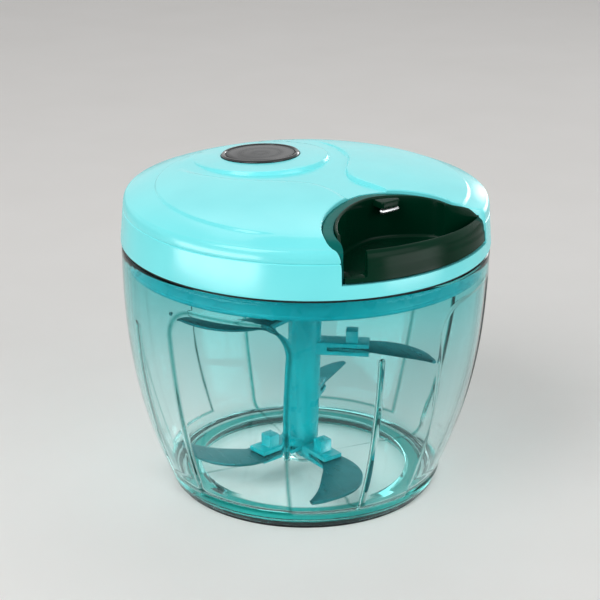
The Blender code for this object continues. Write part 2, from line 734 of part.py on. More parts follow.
def along_y(y):
    """The place of a turned piece laid along Y on the cord's way out, its top facing the reel"""
    lay = Matrix.Rotation(-math.pi / 2, 4, "X")
    return Matrix.Translation((CORD_X, y, CORD_EXIT_Z)) @ lay


def cord_eyelet():
    """Flanged bush in the cradle's back wall that the cord runs through"""
    hole = CORD_RADIUS + MOVE_GAP
    outer = hole + EYELET_WALL
    flange = outer + EYELET_FLANGE
    back = CRADLE_WALL + SEAT_GAP
    front = HANDLE_BACK_Y - BAY_BACK_Y + MOVE_GAP * 2
    profile = [
        (flange, back + EYELET_FLANGE_THICK), (flange, back), (outer, back), (outer, front),
        (hole, front), (hole, back + EYELET_FLANGE_THICK),
    ]
    bush = turned("cord_eyelet", profile, 20, PARTS, STEEL_PLATE, closed=True)
    bush.matrix_world = along_y(BAY_BACK_Y)
    return bush


def handle():
    """Leaf-shaped cup that fills the bay, with a wall to pull on at the front"""
    low = SILL_Z + MOVE_GAP
    floor = low + HANDLE_FLOOR
    high = DOME_Z + OVERRUN
    body = prism("handle", [handle_outline()], low, high, PARTS, GREEN_PLASTIC)
    keep_inside(body, cover_envelope("handle_limit", HANDLE_SUNK, LID_Z))
    cut(body, prism("cavity_cutter", [cavity_outline()], floor, high + OVERRUN, CUTTERS))
    x, y, _ = around(SCOOP_TURN, LID_RADIUS - SCOOP_SETBACK, 0)
    cut(body, rod("scoop", SCOOP_RADIUS, floor, high, x, y, CUTTERS, 24))
    right = CORD_X + TAB_WIDTH / 2
    face = cavity_back_y(right) - TAB_THICK
    top = dome_height(-face) - HANDLE_SUNK - TAB_CLEARANCE
    tab = block(
        "cord_tab", (right - TAB_WIDTH, face, top - TAB_HEIGHT),
        (right, HANDLE_BACK_Y - HANDLE_WALL / 2, top), CUTTERS,
    )
    keep_inside(tab, prism("tab_limit", [handle_outline(-SEAT_GAP)], low, high, CUTTERS))
    join(body, tab)
    hole = rod("handle_cord_hole", CORD_RADIUS + MOVE_GAP, 0, BAY_DEPTH, 0, 0, CUTTERS, 16)
    hole.matrix_world = along_y(HANDLE_BACK_Y)
    cut(body, hole)
    return body


def cord_toggle():
    """Steel bar that the cord's end is tied to, in front of the handle's back wall"""
    ends = TOGGLE_LENGTH / 2
    edge = TOGGLE_RADIUS / 3
    profile = [
        (0, ends), (TOGGLE_RADIUS - edge, ends), (TOGGLE_RADIUS, ends - edge),
        (TOGGLE_RADIUS, edge - ends), (TOGGLE_RADIUS - edge, -ends), (0, -ends),
    ]
    bar = turned("cord_toggle", profile, 16, PARTS, STEEL_PLATE)
    turn = Matrix.Rotation(math.pi / 2, 4, "Y")
    bar.matrix_world = Matrix.Translation((CORD_X, toggle_y(), CORD_EXIT_Z)) @ turn
    return bar


def toggle_y():
    return cavity_back_y(CORD_X + TOGGLE_LENGTH / 2) - SEAT_GAP - TOGGLE_RADIUS


def cord_route():
    """Centre line of the lead: straight back from the toggle, down to the reel and part round it"""
    start = toggle_y() + TOGGLE_RADIUS + SEAT_GAP
    corner = BAY_BACK_Y + CRADLE_WALL + EYELET_FLANGE_THICK + CORD_BEND
    radius = REEL_CORE_RADIUS + SEAT_GAP + WINDING_THICK + SEAT_GAP + CORD_RADIUS
    apart = math.hypot(CORD_X, corner)
    meet = math.atan2(CORD_X, -corner) + math.acos(radius / apart)
    tangent = around(meet, radius, CORD_Z)
    run = [b - a for a, b in zip((CORD_X, corner, CORD_EXIT_Z), tangent)]
    length = math.sqrt(sum(part * part for part in run))
    points = [(CORD_X, start, CORD_EXIT_Z), (CORD_X, (start + corner) / 2, CORD_EXIT_Z)]
    for i in range(6):
        t = i / 5
        before = (CORD_X, corner - CORD_BEND * (1 - t), CORD_EXIT_Z)
        after = (
            CORD_X + run[0] / length * CORD_BEND * t,
            corner + run[1] / length * CORD_BEND * t,
            CORD_EXIT_Z + run[2] / length * CORD_BEND * t,
        )
        points.append(tuple(a + (b - a) * t for a, b in zip(before, after)))
    for i in range(4):
        points.append(around(meet + CORD_WRAP * i / 3, radius, CORD_Z))
    return points


def pull_cord():
    curve = bpy.data.curves.new("pull_cord", "CURVE")
    curve.dimensions = "3D"
    curve.bevel_depth = CORD_RADIUS
    curve.bevel_resolution = 2
    curve.use_fill_caps = True
    curve.materials.append(CORD_YARN)
    points = cord_route()
    spline = curve.splines.new("POLY")
    spline.points.add(len(points) - 1)
    for target, (x, y, z) in zip(spline.points, points):
        target.co = (x, y, z, 1)
    return new_object("pull_cord", curve, PARTS)


def cord_winding():
    """The turns of cord on the reel, as the ring that they fill"""
    inner = REEL_CORE_RADIUS + SEAT_GAP
    outer = inner + WINDING_THICK
    low = GROOVE_Z + SEAT_GAP
    high = GROOVE_Z + REEL_GROOVE - SEAT_GAP
    profile = [(outer, high), (outer, low), (inner, low), (inner, high)]
    return turned("cord_winding", profile, 36, PARTS, CORD_YARN, closed=True)


def reel():
    bore = AXLE_RADIUS + MOVE_GAP
    core_inner = REEL_CORE_RADIUS - REEL_CORE_WALL
    upper = GROOVE_Z + REEL_GROOVE
    profile = [
        (REEL_RADIUS, REEL_TOP_Z), (REEL_RADIUS, upper), (REEL_CORE_RADIUS, upper),
        (REEL_CORE_RADIUS, GROOVE_Z), (REEL_RADIUS, GROOVE_Z), (REEL_RADIUS, REEL_Z),
        (bore, REEL_Z), (bore, GROOVE_Z), (core_inner, GROOVE_Z), (core_inner, REEL_TOP_Z),
    ]
    return turned("reel", profile, 36, PARTS, TEAL_PLASTIC, closed=True)


def ratchet_outline(radius, depth):
    """Saw teeth that stand in from a radius"""
    points = []
    for i in range(CLUTCH_TEETH):
        a = 2 * math.pi * i / CLUTCH_TEETH
        b = 2 * math.pi * (i + 1) / CLUTCH_TEETH
        points.append((radius * math.cos(a), radius * math.sin(a)))
        low = radius - depth
        points.append((low * math.cos(b), low * math.sin(b)))
    return points


def drive_hub():
    cup = HUB_FLANGE_RADIUS - CLUTCH_WALL - CLUTCH_TOOTH
    rim = HUB_TOP_Z + CLUTCH_HEIGHT
    profile = [
        (0, HUB_TOP_Z), (cup, HUB_TOP_Z), (cup, rim), (HUB_FLANGE_RADIUS, rim),
        (HUB_FLANGE_RADIUS, HUB_Z), (HUB_STEM_RADIUS, HUB_Z), (HUB_STEM_RADIUS, HUB_LOW_Z),
        (0, HUB_LOW_Z),
    ]
    body = turned("drive_hub", profile, 36, PARTS, TEAL_PLASTIC)
    teeth = ratchet_outline(cup + CLUTCH_TOOTH, CLUTCH_TOOTH)
    cut(body, prism("clutch_cutter", [teeth], HUB_TOP_Z, rim + OVERRUN, CUTTERS))
    corners = circle(HEX_RADIUS + MOVE_GAP, 0, 0, 6)
    top = HUB_LOW_Z + HEX_DEPTH + MOVE_GAP
    cut(body, prism("hex_cutter", [corners], HUB_LOW_Z - OVERRUN, top, CUTTERS))
    return body


def pawl_ring():
    """Ring under the reel with two springy arms that catch the clutch teeth one way only"""
    inner = AXLE_HEAD_RADIUS + MOVE_GAP
    outer = inner + PAWL_RING_WIDTH
    reach = HUB_FLANGE_RADIUS - CLUTCH_WALL - CLUTCH_TOOTH - MOVE_GAP
    high = REEL_Z - SEAT_GAP
    low = high - PAWL_HEIGHT
    body = prism(
        "pawl_ring", [circle(outer, 0, 0, 28), circle(inner, 0, 0, 28)], low, high, PARTS,
        CREAM_NYLON,
    )
    start = outer - PAWL_ARM_WIDTH
    for k in (0, 1):
        far, near = [], []
        for i in range(11):
            a = math.pi * k + PAWL_ARM_SWEEP * i / 10
            r = start + (reach - start) * i / 10
            far.append((r * math.cos(a), r * math.sin(a)))
            r -= PAWL_ARM_WIDTH
            near.append((r * math.cos(a), r * math.sin(a)))
        arm = prism(f"pawl_arm_{k + 1}", [far + near[::-1]], low, high, CUTTERS)
        join(body, arm)
    return body


def power_spring():
    """Flat recoil spring: one strip wound in an even spiral inside the reel's core"""
    inner = AXLE_BOSS_RADIUS
    outer = REEL_CORE_RADIUS - REEL_CORE_WALL - SEAT_GAP
    count = SPRING_TURNS * 18
    far, near = [], []
    for i in range(count + 1):
        a = 2 * math.pi * SPRING_TURNS * i / count
        r = inner + (outer - inner) * i / count
        far.append((r * math.cos(a), r * math.sin(a)))
        r -= SPRING_THICK
        near.append((r * math.cos(a), r * math.sin(a)))
    low = GROOVE_Z + SEAT_GAP
    return prism(
        "power_spring", [far + near[::-1]], low, low + SPRING_HEIGHT, PARTS, STEEL_PLATE
    )


def spring_cap():
    low = GROOVE_Z + SEAT_GAP + SPRING_HEIGHT + SEAT_GAP
    outer = REEL_CORE_RADIUS - REEL_CORE_WALL - SEAT_GAP
    inner = AXLE_RADIUS + MOVE_GAP
    high = low + CAP_THICK
    profile = [(outer, high), (outer, low), (inner, low), (inner, high)]
    return turned("spring_cap", profile, 28, PARTS, TEAL_PLASTIC, closed=True)


def axle_bolt():
    """Shouldered bolt: head under the reel, plain shank, end in the cover's boss"""
    head_top = REEL_Z - SEAT_GAP
    head_low = head_top - AXLE_HEAD
    end = REEL_TOP_Z + MOVE_GAP + AXLE_THREAD_LENGTH
    chamfer = AXLE_RADIUS / 4
    edge = AXLE_HEAD_RADIUS - AXLE_HEAD / 3
    profile = [
        (0, end), (AXLE_RADIUS - chamfer, end), (AXLE_RADIUS, end - chamfer),
        (AXLE_RADIUS, head_top), (AXLE_HEAD_RADIUS, head_top),
        (AXLE_HEAD_RADIUS, head_low + AXLE_HEAD / 3), (edge, head_low), (0, head_low),
    ]
    return turned("axle_bolt", profile, 20, PARTS, ZINC_PLATE)


def badge():
    """Black cup with a dark disc in it, tilted with the dome"""
    depth = BADGE_SUNK - SEAT_GAP
    edge = BADGE_RIM / 3
    inner = BADGE_RADIUS - BADGE_RIM
    floor = BADGE_FLOOR - depth
    profile = [
        (0, floor), (inner, floor), (inner, BADGE_PROUD - edge), (inner + edge, BADGE_PROUD),
        (BADGE_RADIUS - edge, BADGE_PROUD), (BADGE_RADIUS, BADGE_PROUD - edge),
        (BADGE_RADIUS, -depth), (0, -depth),
    ]
    bezel = turned("badge_bezel", profile, 40, PARTS, GLOSS_BLACK)
    bezel.matrix_world = badge_place(0)
    disc = inner - BADGE_INSET
    top = BADGE_PROUD - BADGE_INSET
    low = floor + SEAT_GAP
    edge = (top - low) / 3
    profile = [(0, top), (disc - edge, top), (disc, top - edge), (disc, low), (0, low)]
    insert = turned("badge_insert", profile, 40, PARTS, DARK_GLASSY)
    insert.matrix_world = badge_place(0)


def spindle():
    """Tapering column with a hexagonal head, a pointed foot and five forked arms"""
    low = FLOOR_Z + SEAT_GAP
    high = HUB_LOW_Z - MOVE_GAP
    profile = [
        (0, high), (SPINDLE_TOP_RADIUS, high), (SPINDLE_LOW_RADIUS, low + SPINDLE_CONE_HEIGHT),
        (SPINDLE_POINT_RADIUS, low), (0, low),
    ]
    body = turned("spindle", profile, 20, PARTS, TEAL_PLASTIC)
    top = HUB_LOW_Z + HEX_DEPTH - MOVE_GAP
    below = high - SPINDLE_TOP_RADIUS
    join(body, prism("hex_head", [circle(HEX_RADIUS, 0, 0, 6)], below, top, CUTTERS))
    for name, z, turn, length, _, _, _ in BLADES:
        half = ARM_WIDTH / 2
        arm = block(
            f"{name}_arm", (-half, -length, z - ARM_HEIGHT / 2), (half, 0, z + ARM_HEIGHT / 2),
            CUTTERS, turn,
        )
        join(body, arm)
        far = -length + ARM_TAB_SETBACK
        tab = block(
            f"{name}_tab", (-ARM_TAB_WIDTH / 2, far, z + BLADE_THICK),
            (ARM_TAB_WIDTH / 2, far + ARM_TAB_LENGTH, z + ARM_HEIGHT / 2 + ARM_TAB_HEIGHT),
            CUTTERS, turn,
        )
        join(body, tab)
        slit = BLADE_THICK / 2 + SEAT_GAP
        slot = block(
            f"{name}_slot", (-ARM_WIDTH, -length - OVERRUN, z - slit),
            (ARM_WIDTH, -ARM_NECK, z + slit), CUTTERS, turn,
        )
        cut(body, slot)
    return body


def blade_line(turn, length, reach, curl, u):
    """A point of the blade's middle line: straight in the arm, then curling back"""
    r = ARM_NECK + SEAT_GAP + (reach - ARM_NECK - SEAT_GAP) * u
    bent = max((r - length) / (reach - length), 0)
    return around(turn - curl * bent**BLADE_BEND_SHARE, r, 0)


def blade_outline(turn, length, reach, curl, belly):
    """A sickle in plan: widths set off square to the middle line"""
    lead, trail = [], []
    for i in range(15):
        u = i / 14
        x, y, _ = blade_line(turn, length, reach, curl, u)
        before = blade_line(turn, length, reach, curl, max(u - 1 / 14, 0))
        after = blade_line(turn, length, reach, curl, min(u + 1 / 14, 1))
        along = (after[0] - before[0], after[1] - before[1])
        swell = belly * math.sin(math.pi * u**BLADE_BEND_SHARE)
        width = BLADE_ROOT_WIDTH + (BLADE_TIP_WIDTH - BLADE_ROOT_WIDTH) * u**3 + swell
        step = width / 2 / math.hypot(*along)
        lead.append((x - along[1] * step, y + along[0] * step))
        trail.append((x + along[1] * step, y - along[0] * step))
    return lead + trail[::-1]


def blades():
    for name, z, turn, length, inset, curl, belly in BLADES:
        outline = blade_outline(turn, length, BOWL_BASE_RADIUS - inset, curl, belly)
        half = BLADE_THICK / 2
        prism(name, [outline], z - half, z + half, PARTS, STEEL_PLATE)


for old in list(bpy.data.objects):
    bpy.data.objects.remove(old)

PARTS = bpy.data.collections.new("vegetable_chopper")
CUTTERS = bpy.data.collections.new("cutters")
bpy.context.scene.collection.children.link(PARTS)
bpy.context.scene.collection.children.link(CUTTERS)

RUBBER = material("black_rubber", BLACK, 0.65)
CLEAR_PLASTIC = material("clear_teal_plastic", CLEAR_TEAL, 0.04, transmission=0.95)
AQUA_PLASTIC = material("aqua_plastic", AQUA, 0.25)
TEAL_PLASTIC = material("teal_plastic", TEAL, 0.30)
DEEP_TEAL = material("dark_teal_plastic", DARK_TEAL, 0.28)
GREEN_PLASTIC = material("dark_green_plastic", DARK_GREEN, 0.22)
GLOSS_BLACK = material("gloss_black_plastic", BLACK, 0.12)
DARK_GLASSY = material("dark_glassy_plastic", BLACK, 0.18)
STEEL_PLATE = material("stainless_steel", STEEL, 0.22, metallic=1.0)
ZINC_PLATE = material("zinc_plated_steel", ZINC, 0.30, metallic=1.0)
CREAM_NYLON = material("cream_nylon", CREAM, 0.40)
CORD_YARN = material("braided_cord", CREAM, 0.85)

ARCH_BAND = shell_band("arch_band", ARCH_DEPTH, OVERRUN, BOWL_Z, RIM_Z)
RIB_BAND = shell_band(
    "rib_band", BOWL_WALL + RIB_DEPTH, -BOWL_WALL / 2, FLOOR_Z - BOWL_FLOOR / 2, RIM_Z
)

foot_ring()
bowl()
seal_ring()
lid_base()
lid_cover()
lid_screws()
handle_cradle()
cord_eyelet()
handle()
cord_toggle()
pull_cord()
cord_winding()
reel()
pawl_ring()
power_spring()
spring_cap()
drive_hub()
axle_bolt()
badge()
spindle()
blades()

for piece in PARTS.objects:
    if piece.type == "MESH":
        shade(piece)
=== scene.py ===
"""Looks of the hand-pulled vegetable chopper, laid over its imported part.

Metres, Z up, the origin at the centre of the base. The handle pulls out along -Y. Angles about Z
are counted from there to the right: x = r sin a, y = -r cos a. Profiles are written in mm.
"""

import math

import bmesh
import bpy
import numpy as np
from mathutils import Matrix, Vector


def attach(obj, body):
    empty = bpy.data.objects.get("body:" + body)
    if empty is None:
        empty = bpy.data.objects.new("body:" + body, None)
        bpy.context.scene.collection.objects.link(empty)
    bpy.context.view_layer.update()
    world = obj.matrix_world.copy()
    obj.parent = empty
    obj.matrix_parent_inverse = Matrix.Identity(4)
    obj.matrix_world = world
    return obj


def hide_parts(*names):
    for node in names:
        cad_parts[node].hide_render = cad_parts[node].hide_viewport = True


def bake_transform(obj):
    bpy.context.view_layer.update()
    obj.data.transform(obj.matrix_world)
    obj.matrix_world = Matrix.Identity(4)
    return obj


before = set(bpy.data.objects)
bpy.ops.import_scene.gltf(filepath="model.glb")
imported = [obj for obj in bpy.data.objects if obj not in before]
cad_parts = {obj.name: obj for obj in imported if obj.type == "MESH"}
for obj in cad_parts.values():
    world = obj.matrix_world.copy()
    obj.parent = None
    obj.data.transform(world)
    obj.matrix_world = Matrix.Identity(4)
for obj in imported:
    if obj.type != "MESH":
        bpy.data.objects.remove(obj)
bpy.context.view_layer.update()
scene = bpy.context.scene
MM = 0.001

# Camera: fitted to the photograph, then turned with the object about the vertical
LENS_PIXELS, FRAME_PIXELS = 1826.1, 600
CAMERA_BACK, CAMERA_UP = 627.6 * MM, 309.6 * MM
CAMERA_PITCH, CAMERA_YAW, CAMERA_ROLL = 0.3666, -0.0030, 0.0097
CAMERA_TURN = math.radians(-39.5)

# Bowl: levels of its base, rim and floor, ends of the plain wall, then its thicknesses and marks
BOWL_Z, RIM_Z, FLOOR_Z = 2.6 * MM, 92.3 * MM, 5.8 * MM
WALL_LOW, WALL_HIGH = 2.4 * MM, 91.6 * MM
BOWL_WALL, FILLET = 2.2 * MM, 5.5 * MM
FACET_DEPTH, RIB_RISE = 0.8 * MM, 1.0 * MM

# Cover: levels of the bay's sill, the crease over the skirt and the dome, radii of crease and
# shoulder, the wall, the step's circle with its shift towards the bay, and the screws' circle
SILL_Z, CREASE_Z, DOME_Z = 98.7 * MM, 106.6 * MM, 118.3 * MM
CREASE_RADIUS, SHOULDER_RADIUS, LID_WALL = 66.0 * MM, 64.3 * MM, 2.2 * MM
STEP_RADIUS, STEP_SHIFT, SCREW_CIRCLE = 56 * MM, 3.2 * MM, 54 * MM
SCREW_PLACES = [
    Matrix.Translation((SCREW_CIRCLE * math.sin(turn), -SCREW_CIRCLE * math.cos(turn), 0))
    for turn in map(math.radians, (50, 135, 225, 310))
]

# Bay, handle and the handle's cavity: half width left and right, depth behind the widest place,
# and half width of the mouth left and right. Then that place, the cup's middle and its rim's radius
BAY = (33.5 * MM, 24.8 * MM, 23.5 * MM, 32 * MM, 37.2 * MM)
HANDLE = (28.6 * MM, 22.8 * MM, 19.4 * MM, 31.2 * MM, 36.8 * MM)
CAVITY = (27.4 * MM, 21.6 * MM, 18.2 * MM, 27.4 * MM, 33.0 * MM)
WIDEST_Y, CUP_MIDDLE, HANDLE_RIM = -52.5 * MM, np.array([-3 * MM, -48 * MM]), 65.6 * MM

# Badge on the dome, the cord's line through the bay's back wall, and where it leaves the reel
BADGE_X, BADGE_Y, BADGE_SLOPE = 2.0 * MM, 29.5 * MM, math.radians(3.9)
CORD_X, CORD_Z, CORD_EXIT_Z = 3.5 * MM, 107.3 * MM, 108.3 * MM
CORD_TURN_RADIUS, CORD_WRAP = 19.5 * MM, math.radians(25)


def linear(code):
    """An sRGB hex colour as linear RGBA"""
    share = np.array([int(code[i : i + 2], 16) for i in (1, 3, 5)]) / 255
    curved = np.where(share <= 0.04045, share / 12.92, ((share + 0.055) / 1.055) ** 2.4)
    return (*curved.tolist(), 1.0)


def per(size):
    """Texture scale at which a pattern repeats every so many metres"""
    return 1 / size


def wire(tree, made, links):
    """Links inputs of a node, each to the (node, output) that is given for it"""
    for key, (source, output) in links.items():
        tree.links.new(source.outputs[output], made.inputs[key])


def node(tree, kind, settings=None, links=None):
    """Adds a node. A setting is one of its properties or an unlinked input. Inputs of one name go
    by number: a MapRange takes 0 from the range 1 to 2 into the range 3 to 4, and a Mix takes the
    factor 0 and the colours 6 and 7 and gives its colour at 2."""
    made = tree.nodes.new("ShaderNode" + kind)
    for key, value in (settings or {}).items():
        if isinstance(key, str) and hasattr(made, key):
            setattr(made, key, value)
        else:
            made.inputs[key].default_value = value
    wire(tree, made, links or {})
    return made


def blank(name):
    """A new material, its node tree, its shader and the link that lays a texture on the piece"""
    made = bpy.data.materials.new(name)
    made.use_nodes = True
    tree = made.node_tree
    return made, tree, tree.nodes["Principled BSDF"], {"Vector": (node(tree, "TexCoord"), "Object")}


def moulded(name, colour, deep, gloss, ior, peel, rise, specular=0.5):
    """Injection-moulded plastic. The colour drifts a little with the melt's flow, the tool's
    polish leaves waves peel apart and rise high, and handling dulls the gloss in soft patches."""
    made, tree, shader, at = blank(name)
    flow = node(tree, "TexNoise", {"Scale": per(30 * MM), "Detail": 2.0}, at)
    drift = node(tree, "MapRange", {1: 0.35, 2: 0.65}, {0: (flow, "Fac")})
    tones = {"data_type": "RGBA", 6: linear(colour), 7: linear(deep)}
    tint = node(tree, "Mix", tones, {0: (drift, 0)})
    rub = node(tree, "TexNoise", {"Scale": per(7 * MM), "Detail": 5.0}, at)
    dull = node(
        tree, "MapRange", {1: 0.3, 2: 0.7, 3: gloss * 0.8, 4: gloss * 1.25}, {0: (rub, "Fac")}
    )
    wave = node(tree, "TexNoise", {"Scale": per(peel), "Detail": 1.0}, at)
    bump = node(tree, "Bump", {"Strength": 1.0, "Distance": rise}, {"Height": (wave, "Fac")})
    shader.inputs["IOR"].default_value = ior
    shader.inputs["Specular IOR Level"].default_value = specular
    wire(tree, shader, {"Base Color": (tint, 2), "Roughness": (dull, 0), "Normal": (bump, 0)})
    return made


def clear_plastic(name, colour, density):
    """Moulded clear plastic, dyed aqua through. Its colour is white up to 35 mm and turns aqua
    towards the rim, a painted reflection of the teal lid. Along its ribs, the edges of its facets
    and in the standing ring underneath it is a deep aqua, painted shade where light bends through
    slanted and thick plastic.
    Hard and glossy, with faint flow waves in the wall and a haze of rub marks."""
    made, tree, shader, at = blank(name)
    rub = node(tree, "TexNoise", {"Scale": per(5 * MM), "Detail": 6.0}, at)
    haze = node(tree, "MapRange", {1: 0.35, 2: 0.75, 3: 0.015, 4: 0.06}, {0: (rub, "Fac")})
    flow = node(tree, "TexNoise", {"Scale": per(14 * MM), "Detail": 1.0}, at)
    bump = node(tree, "Bump", {"Strength": 1.0, "Distance": 0.03 * MM}, {"Height": (flow, "Fac")})
    parts = node(tree, "SeparateXYZ", {}, at)
    # Painted reflection of the teal lid: the colour turns from white at 35 mm to aqua at the rim
    rise = node(tree, "MapRange", {1: 35 * MM, 2: RIM_Z}, {0: (parts, "Z")})
    tones = {"data_type": "RGBA", 6: linear("#FFFFFF"), 7: linear("#8FDFE2")}
    wall = node(tree, "Mix", tones, {0: (rise, 0)})
    plan = node(tree, "CombineXYZ", {}, {"X": (parts, "X"), "Y": (parts, "Y")})
    reach = node(tree, "VectorMath", {"operation": "LENGTH"}, {0: (plan, 0)})
    # Painted shade: the standing ring underneath, 38.8 to 44.8 mm out and under 5 mm, takes the
    # deep aqua
    inside = node(tree, "MapRange", {1: 44.8 * MM, 2: 44.4 * MM}, {0: (reach, "Value")})
    outside = node(tree, "MapRange", {1: 38.8 * MM, 2: 39.2 * MM}, {0: (reach, "Value")})
    under = node(tree, "MapRange", {1: 5.0 * MM, 2: 4.7 * MM}, {0: (parts, "Z")})
    band = node(tree, "Math", {"operation": "MULTIPLY"}, {0: (inside, 0), 1: (outside, 0)})
    ring = node(tree, "Math", {"operation": "MULTIPLY"}, {0: (band, 0), 1: (under, 0)})
    # Painted shade along the ribs and the facets' edges, from the marks kept on the mesh as line
    edge = node(tree, "Attribute", {"attribute_name": "line"})
    deep = node(tree, "Math", {"operation": "MAXIMUM"}, {0: (ring, 0), 1: (edge, "Fac")})
    tones = {"data_type": "RGBA", 7: linear("#0B8F89")}
    tint = node(tree, "Mix", tones, {0: (deep, 0), 6: (wall, 2)})
    dye = node(tree, "VolumeAbsorption", {"Color": linear(colour), "Density": density})
    shader.inputs["Specular Tint"].default_value = linear("#8FD8D8")
    shader.inputs["Transmission Weight"].default_value = 1.0
    shader.inputs["IOR"].default_value = 1.30
    wire(tree, shader, {"Base Color": (tint, 2), "Roughness": (haze, 0), "Normal": (bump, 0)})
    wire(tree, tree.nodes["Material Output"], {"Volume": (dye, 0)})
    return made


def metal(name, colour, deep, low, high, lay, stretch):
    """Metal with the marks of its working: fine lines lay apart, drawn out along the axis that
    stretch scales down, and a soft drift of brightness. The real lines are finer; these are as
    coarse as they need to be to show."""
    made, tree, shader, at = blank(name)
    lines = node(tree, "Mapping", {"Scale": stretch}, at)
    brush = node(tree, "TexNoise", {"Scale": per(lay), "Detail": 3.0}, {"Vector": (lines, 0)})
    patch = node(tree, "TexNoise", {"Scale": per(9 * MM), "Detail": 2.0}, at)
    drift = node(tree, "MapRange", {1: 0.3, 2: 0.7}, {0: (patch, "Fac")})
    tones = {"data_type": "RGBA", 6: linear(colour), 7: linear(deep)}
    tint = node(tree, "Mix", tones, {0: (drift, 0)})
    rough = node(tree, "MapRange", {1: 0.3, 2: 0.7, 3: low, 4: high}, {0: (brush, "Fac")})
    bump = node(tree, "Bump", {"Strength": 0.5, "Distance": 0.01 * MM}, {"Height": (brush, "Fac")})
    shader.inputs["Metallic"].default_value = 1.0
    wire(tree, shader, {"Base Color": (tint, 2), "Roughness": (rough, 0), "Normal": (bump, 0)})
    return made


def rubber(name):
    """Moulded black rubber: matt, with a fine spark-eroded grain and pale dust in low places"""
    made, tree, shader, at = blank(name)
    grain = node(tree, "TexNoise", {"Scale": per(0.5 * MM), "Detail": 2.0}, at)
    dust = node(tree, "TexNoise", {"Scale": per(8 * MM), "Detail": 4.0}, at)
    drift = node(tree, "MapRange", {1: 0.4, 2: 0.75}, {0: (dust, "Fac")})
    tones = {"data_type": "RGBA", 6: linear("#0B0D0E"), 7: linear("#1C1F20")}
    tint = node(tree, "Mix", tones, {0: (drift, 0)})
    rough = node(tree, "MapRange", {3: 0.55, 4: 0.75}, {0: (dust, "Fac")})
    bump = node(tree, "Bump", {"Strength": 0.6, "Distance": 0.02 * MM}, {"Height": (grain, "Fac")})
    shader.inputs["IOR"].default_value = 1.52
    shader.inputs["Specular IOR Level"].default_value = 0.15
    wire(tree, shader, {"Base Color": (tint, 2), "Roughness": (rough, 0), "Normal": (bump, 0)})
    return made


def yarn(name):
    """Braided polyester cord: matt white yarn with fibres 0.3 mm apart, painted a faint grey shade
    where their bump lies low
    """
    made, tree, shader, at = blank(name)
    fibre = node(tree, "TexNoise", {"Scale": per(0.3 * MM), "Detail": 3.0}, at)
    tones = {"data_type": "RGBA", 6: linear("#C9C4B4"), 7: linear("#EFEBDF")}
    # Painted shade: grey where the fibres' bump is low, white where it is high
    tint = node(tree, "Mix", tones, {0: (fibre, "Fac")})
    bump = node(tree, "Bump", {"Strength": 0.8, "Distance": 0.03 * MM}, {"Height": (fibre, "Fac")})
    shader.inputs["Roughness"].default_value = 0.85
    shader.inputs["Sheen Weight"].default_value = 0.3
    wire(tree, shader, {"Base Color": (tint, 2), "Normal": (bump, 0)})
    return made


def glassy(name):
    """Dark acrylic disc with a turned finish behind its face: near black, with rings about the
    badge's centre that catch the light, under a polished surface. The rings lie pi / 10 of the
    texture's scale apart, which makes 5 mm."""
    made, tree, shader, at = blank(name)
    centre = node(tree, "Mapping", {"Location": (-BADGE_X, -BADGE_Y, 0)}, at)
    waves = {"wave_type": "RINGS", "rings_direction": "Z", "Distortion": 0.4, "Scale": per(16 * MM)}
    rings = node(tree, "TexWave", waves, {"Vector": (centre, 0)})
    soft = node(tree, "TexNoise", {"Scale": per(12 * MM), "Detail": 2.0}, at)
    drift = node(tree, "MapRange", {1: 0.3, 2: 0.7}, {0: (soft, "Fac")})
    tones = {"data_type": "RGBA", 6: linear("#15181A"), 7: linear("#23282A")}
    tint = node(tree, "Mix", tones, {0: (drift, 0)})
    rough = node(tree, "MapRange", {3: 0.12, 4: 0.3}, {0: (rings, "Fac")})
    shader.inputs["IOR"].default_value = 1.49
    shader.inputs["Specular IOR Level"].default_value = 0.2
    wire(tree, shader, {"Base Color": (tint, 2), "Roughness": (rough, 0)})
    return made


# Bright aqua ABS from a polished tool: glossy, with hardly a wave
AQUA_ABS = moulded("aqua_abs", "#7CF5F9", "#74EFF4", 0.20, 1.53, 3 * MM, 0.012 * MM)
# Polypropylene: deep teal, with the softer gloss and the wavier skin of a waxy plastic
TEAL_PP = moulded("teal_polypropylene", "#00A2A9", "#00959E", 0.28, 1.49, 2.2 * MM, 0.015 * MM)
# Dyed ABS in dark green, and teal ABS darkened by painted shade, the shade on the bay's ledge under
# the cover's edge. Both mirror little, so they stay deep in a bright room
TEAL_ABS_PAINTED_SHADE = moulded(
    "teal_abs_painted_shade", "#006B64", "#00625B", 0.25, 1.53, 2.5 * MM, 0.012 * MM, 0.06
)
DARK_GREEN_ABS = moulded(
    "dark_green_abs", "#002F1E", "#002617", 0.20, 1.53, 3 * MM, 0.012 * MM, 0.06
)
# Mirror-polished ABS: near black, with sharp reflections
BLACK_ABS = moulded("gloss_black_abs", "#0A0C0D", "#101314", 0.10, 1.53, 3 * MM, 0.006 * MM)
# Nylon: cream and half matt, with a fine wavy skin
NYLON = moulded("cream_nylon", "#D9D2BE", "#CFC7B0", 0.38, 1.53, 1.5 * MM, 0.02 * MM)
# Clear SAN, dyed aqua right through
CLEAR_SAN = clear_plastic("clear_aqua_san", "#38F4F1", 58.0)
# Steel in a teal grey, brushed front to back: broad soft highlights
BLADE_STEEL = metal(
    "teal_grey_steel", "#2A7F84", "#216F75", 0.25, 0.42, 0.8 * MM, (1.0, 0.12, 1.0)
)
# Bare stainless steel, brushed from side to side: pale grey and bright
BRIGHT_STEEL = metal(
    "stainless_steel", "#C9CBCC", "#B4B7BA", 0.18, 0.34, 0.6 * MM, (0.1, 1.0, 1.0)
)
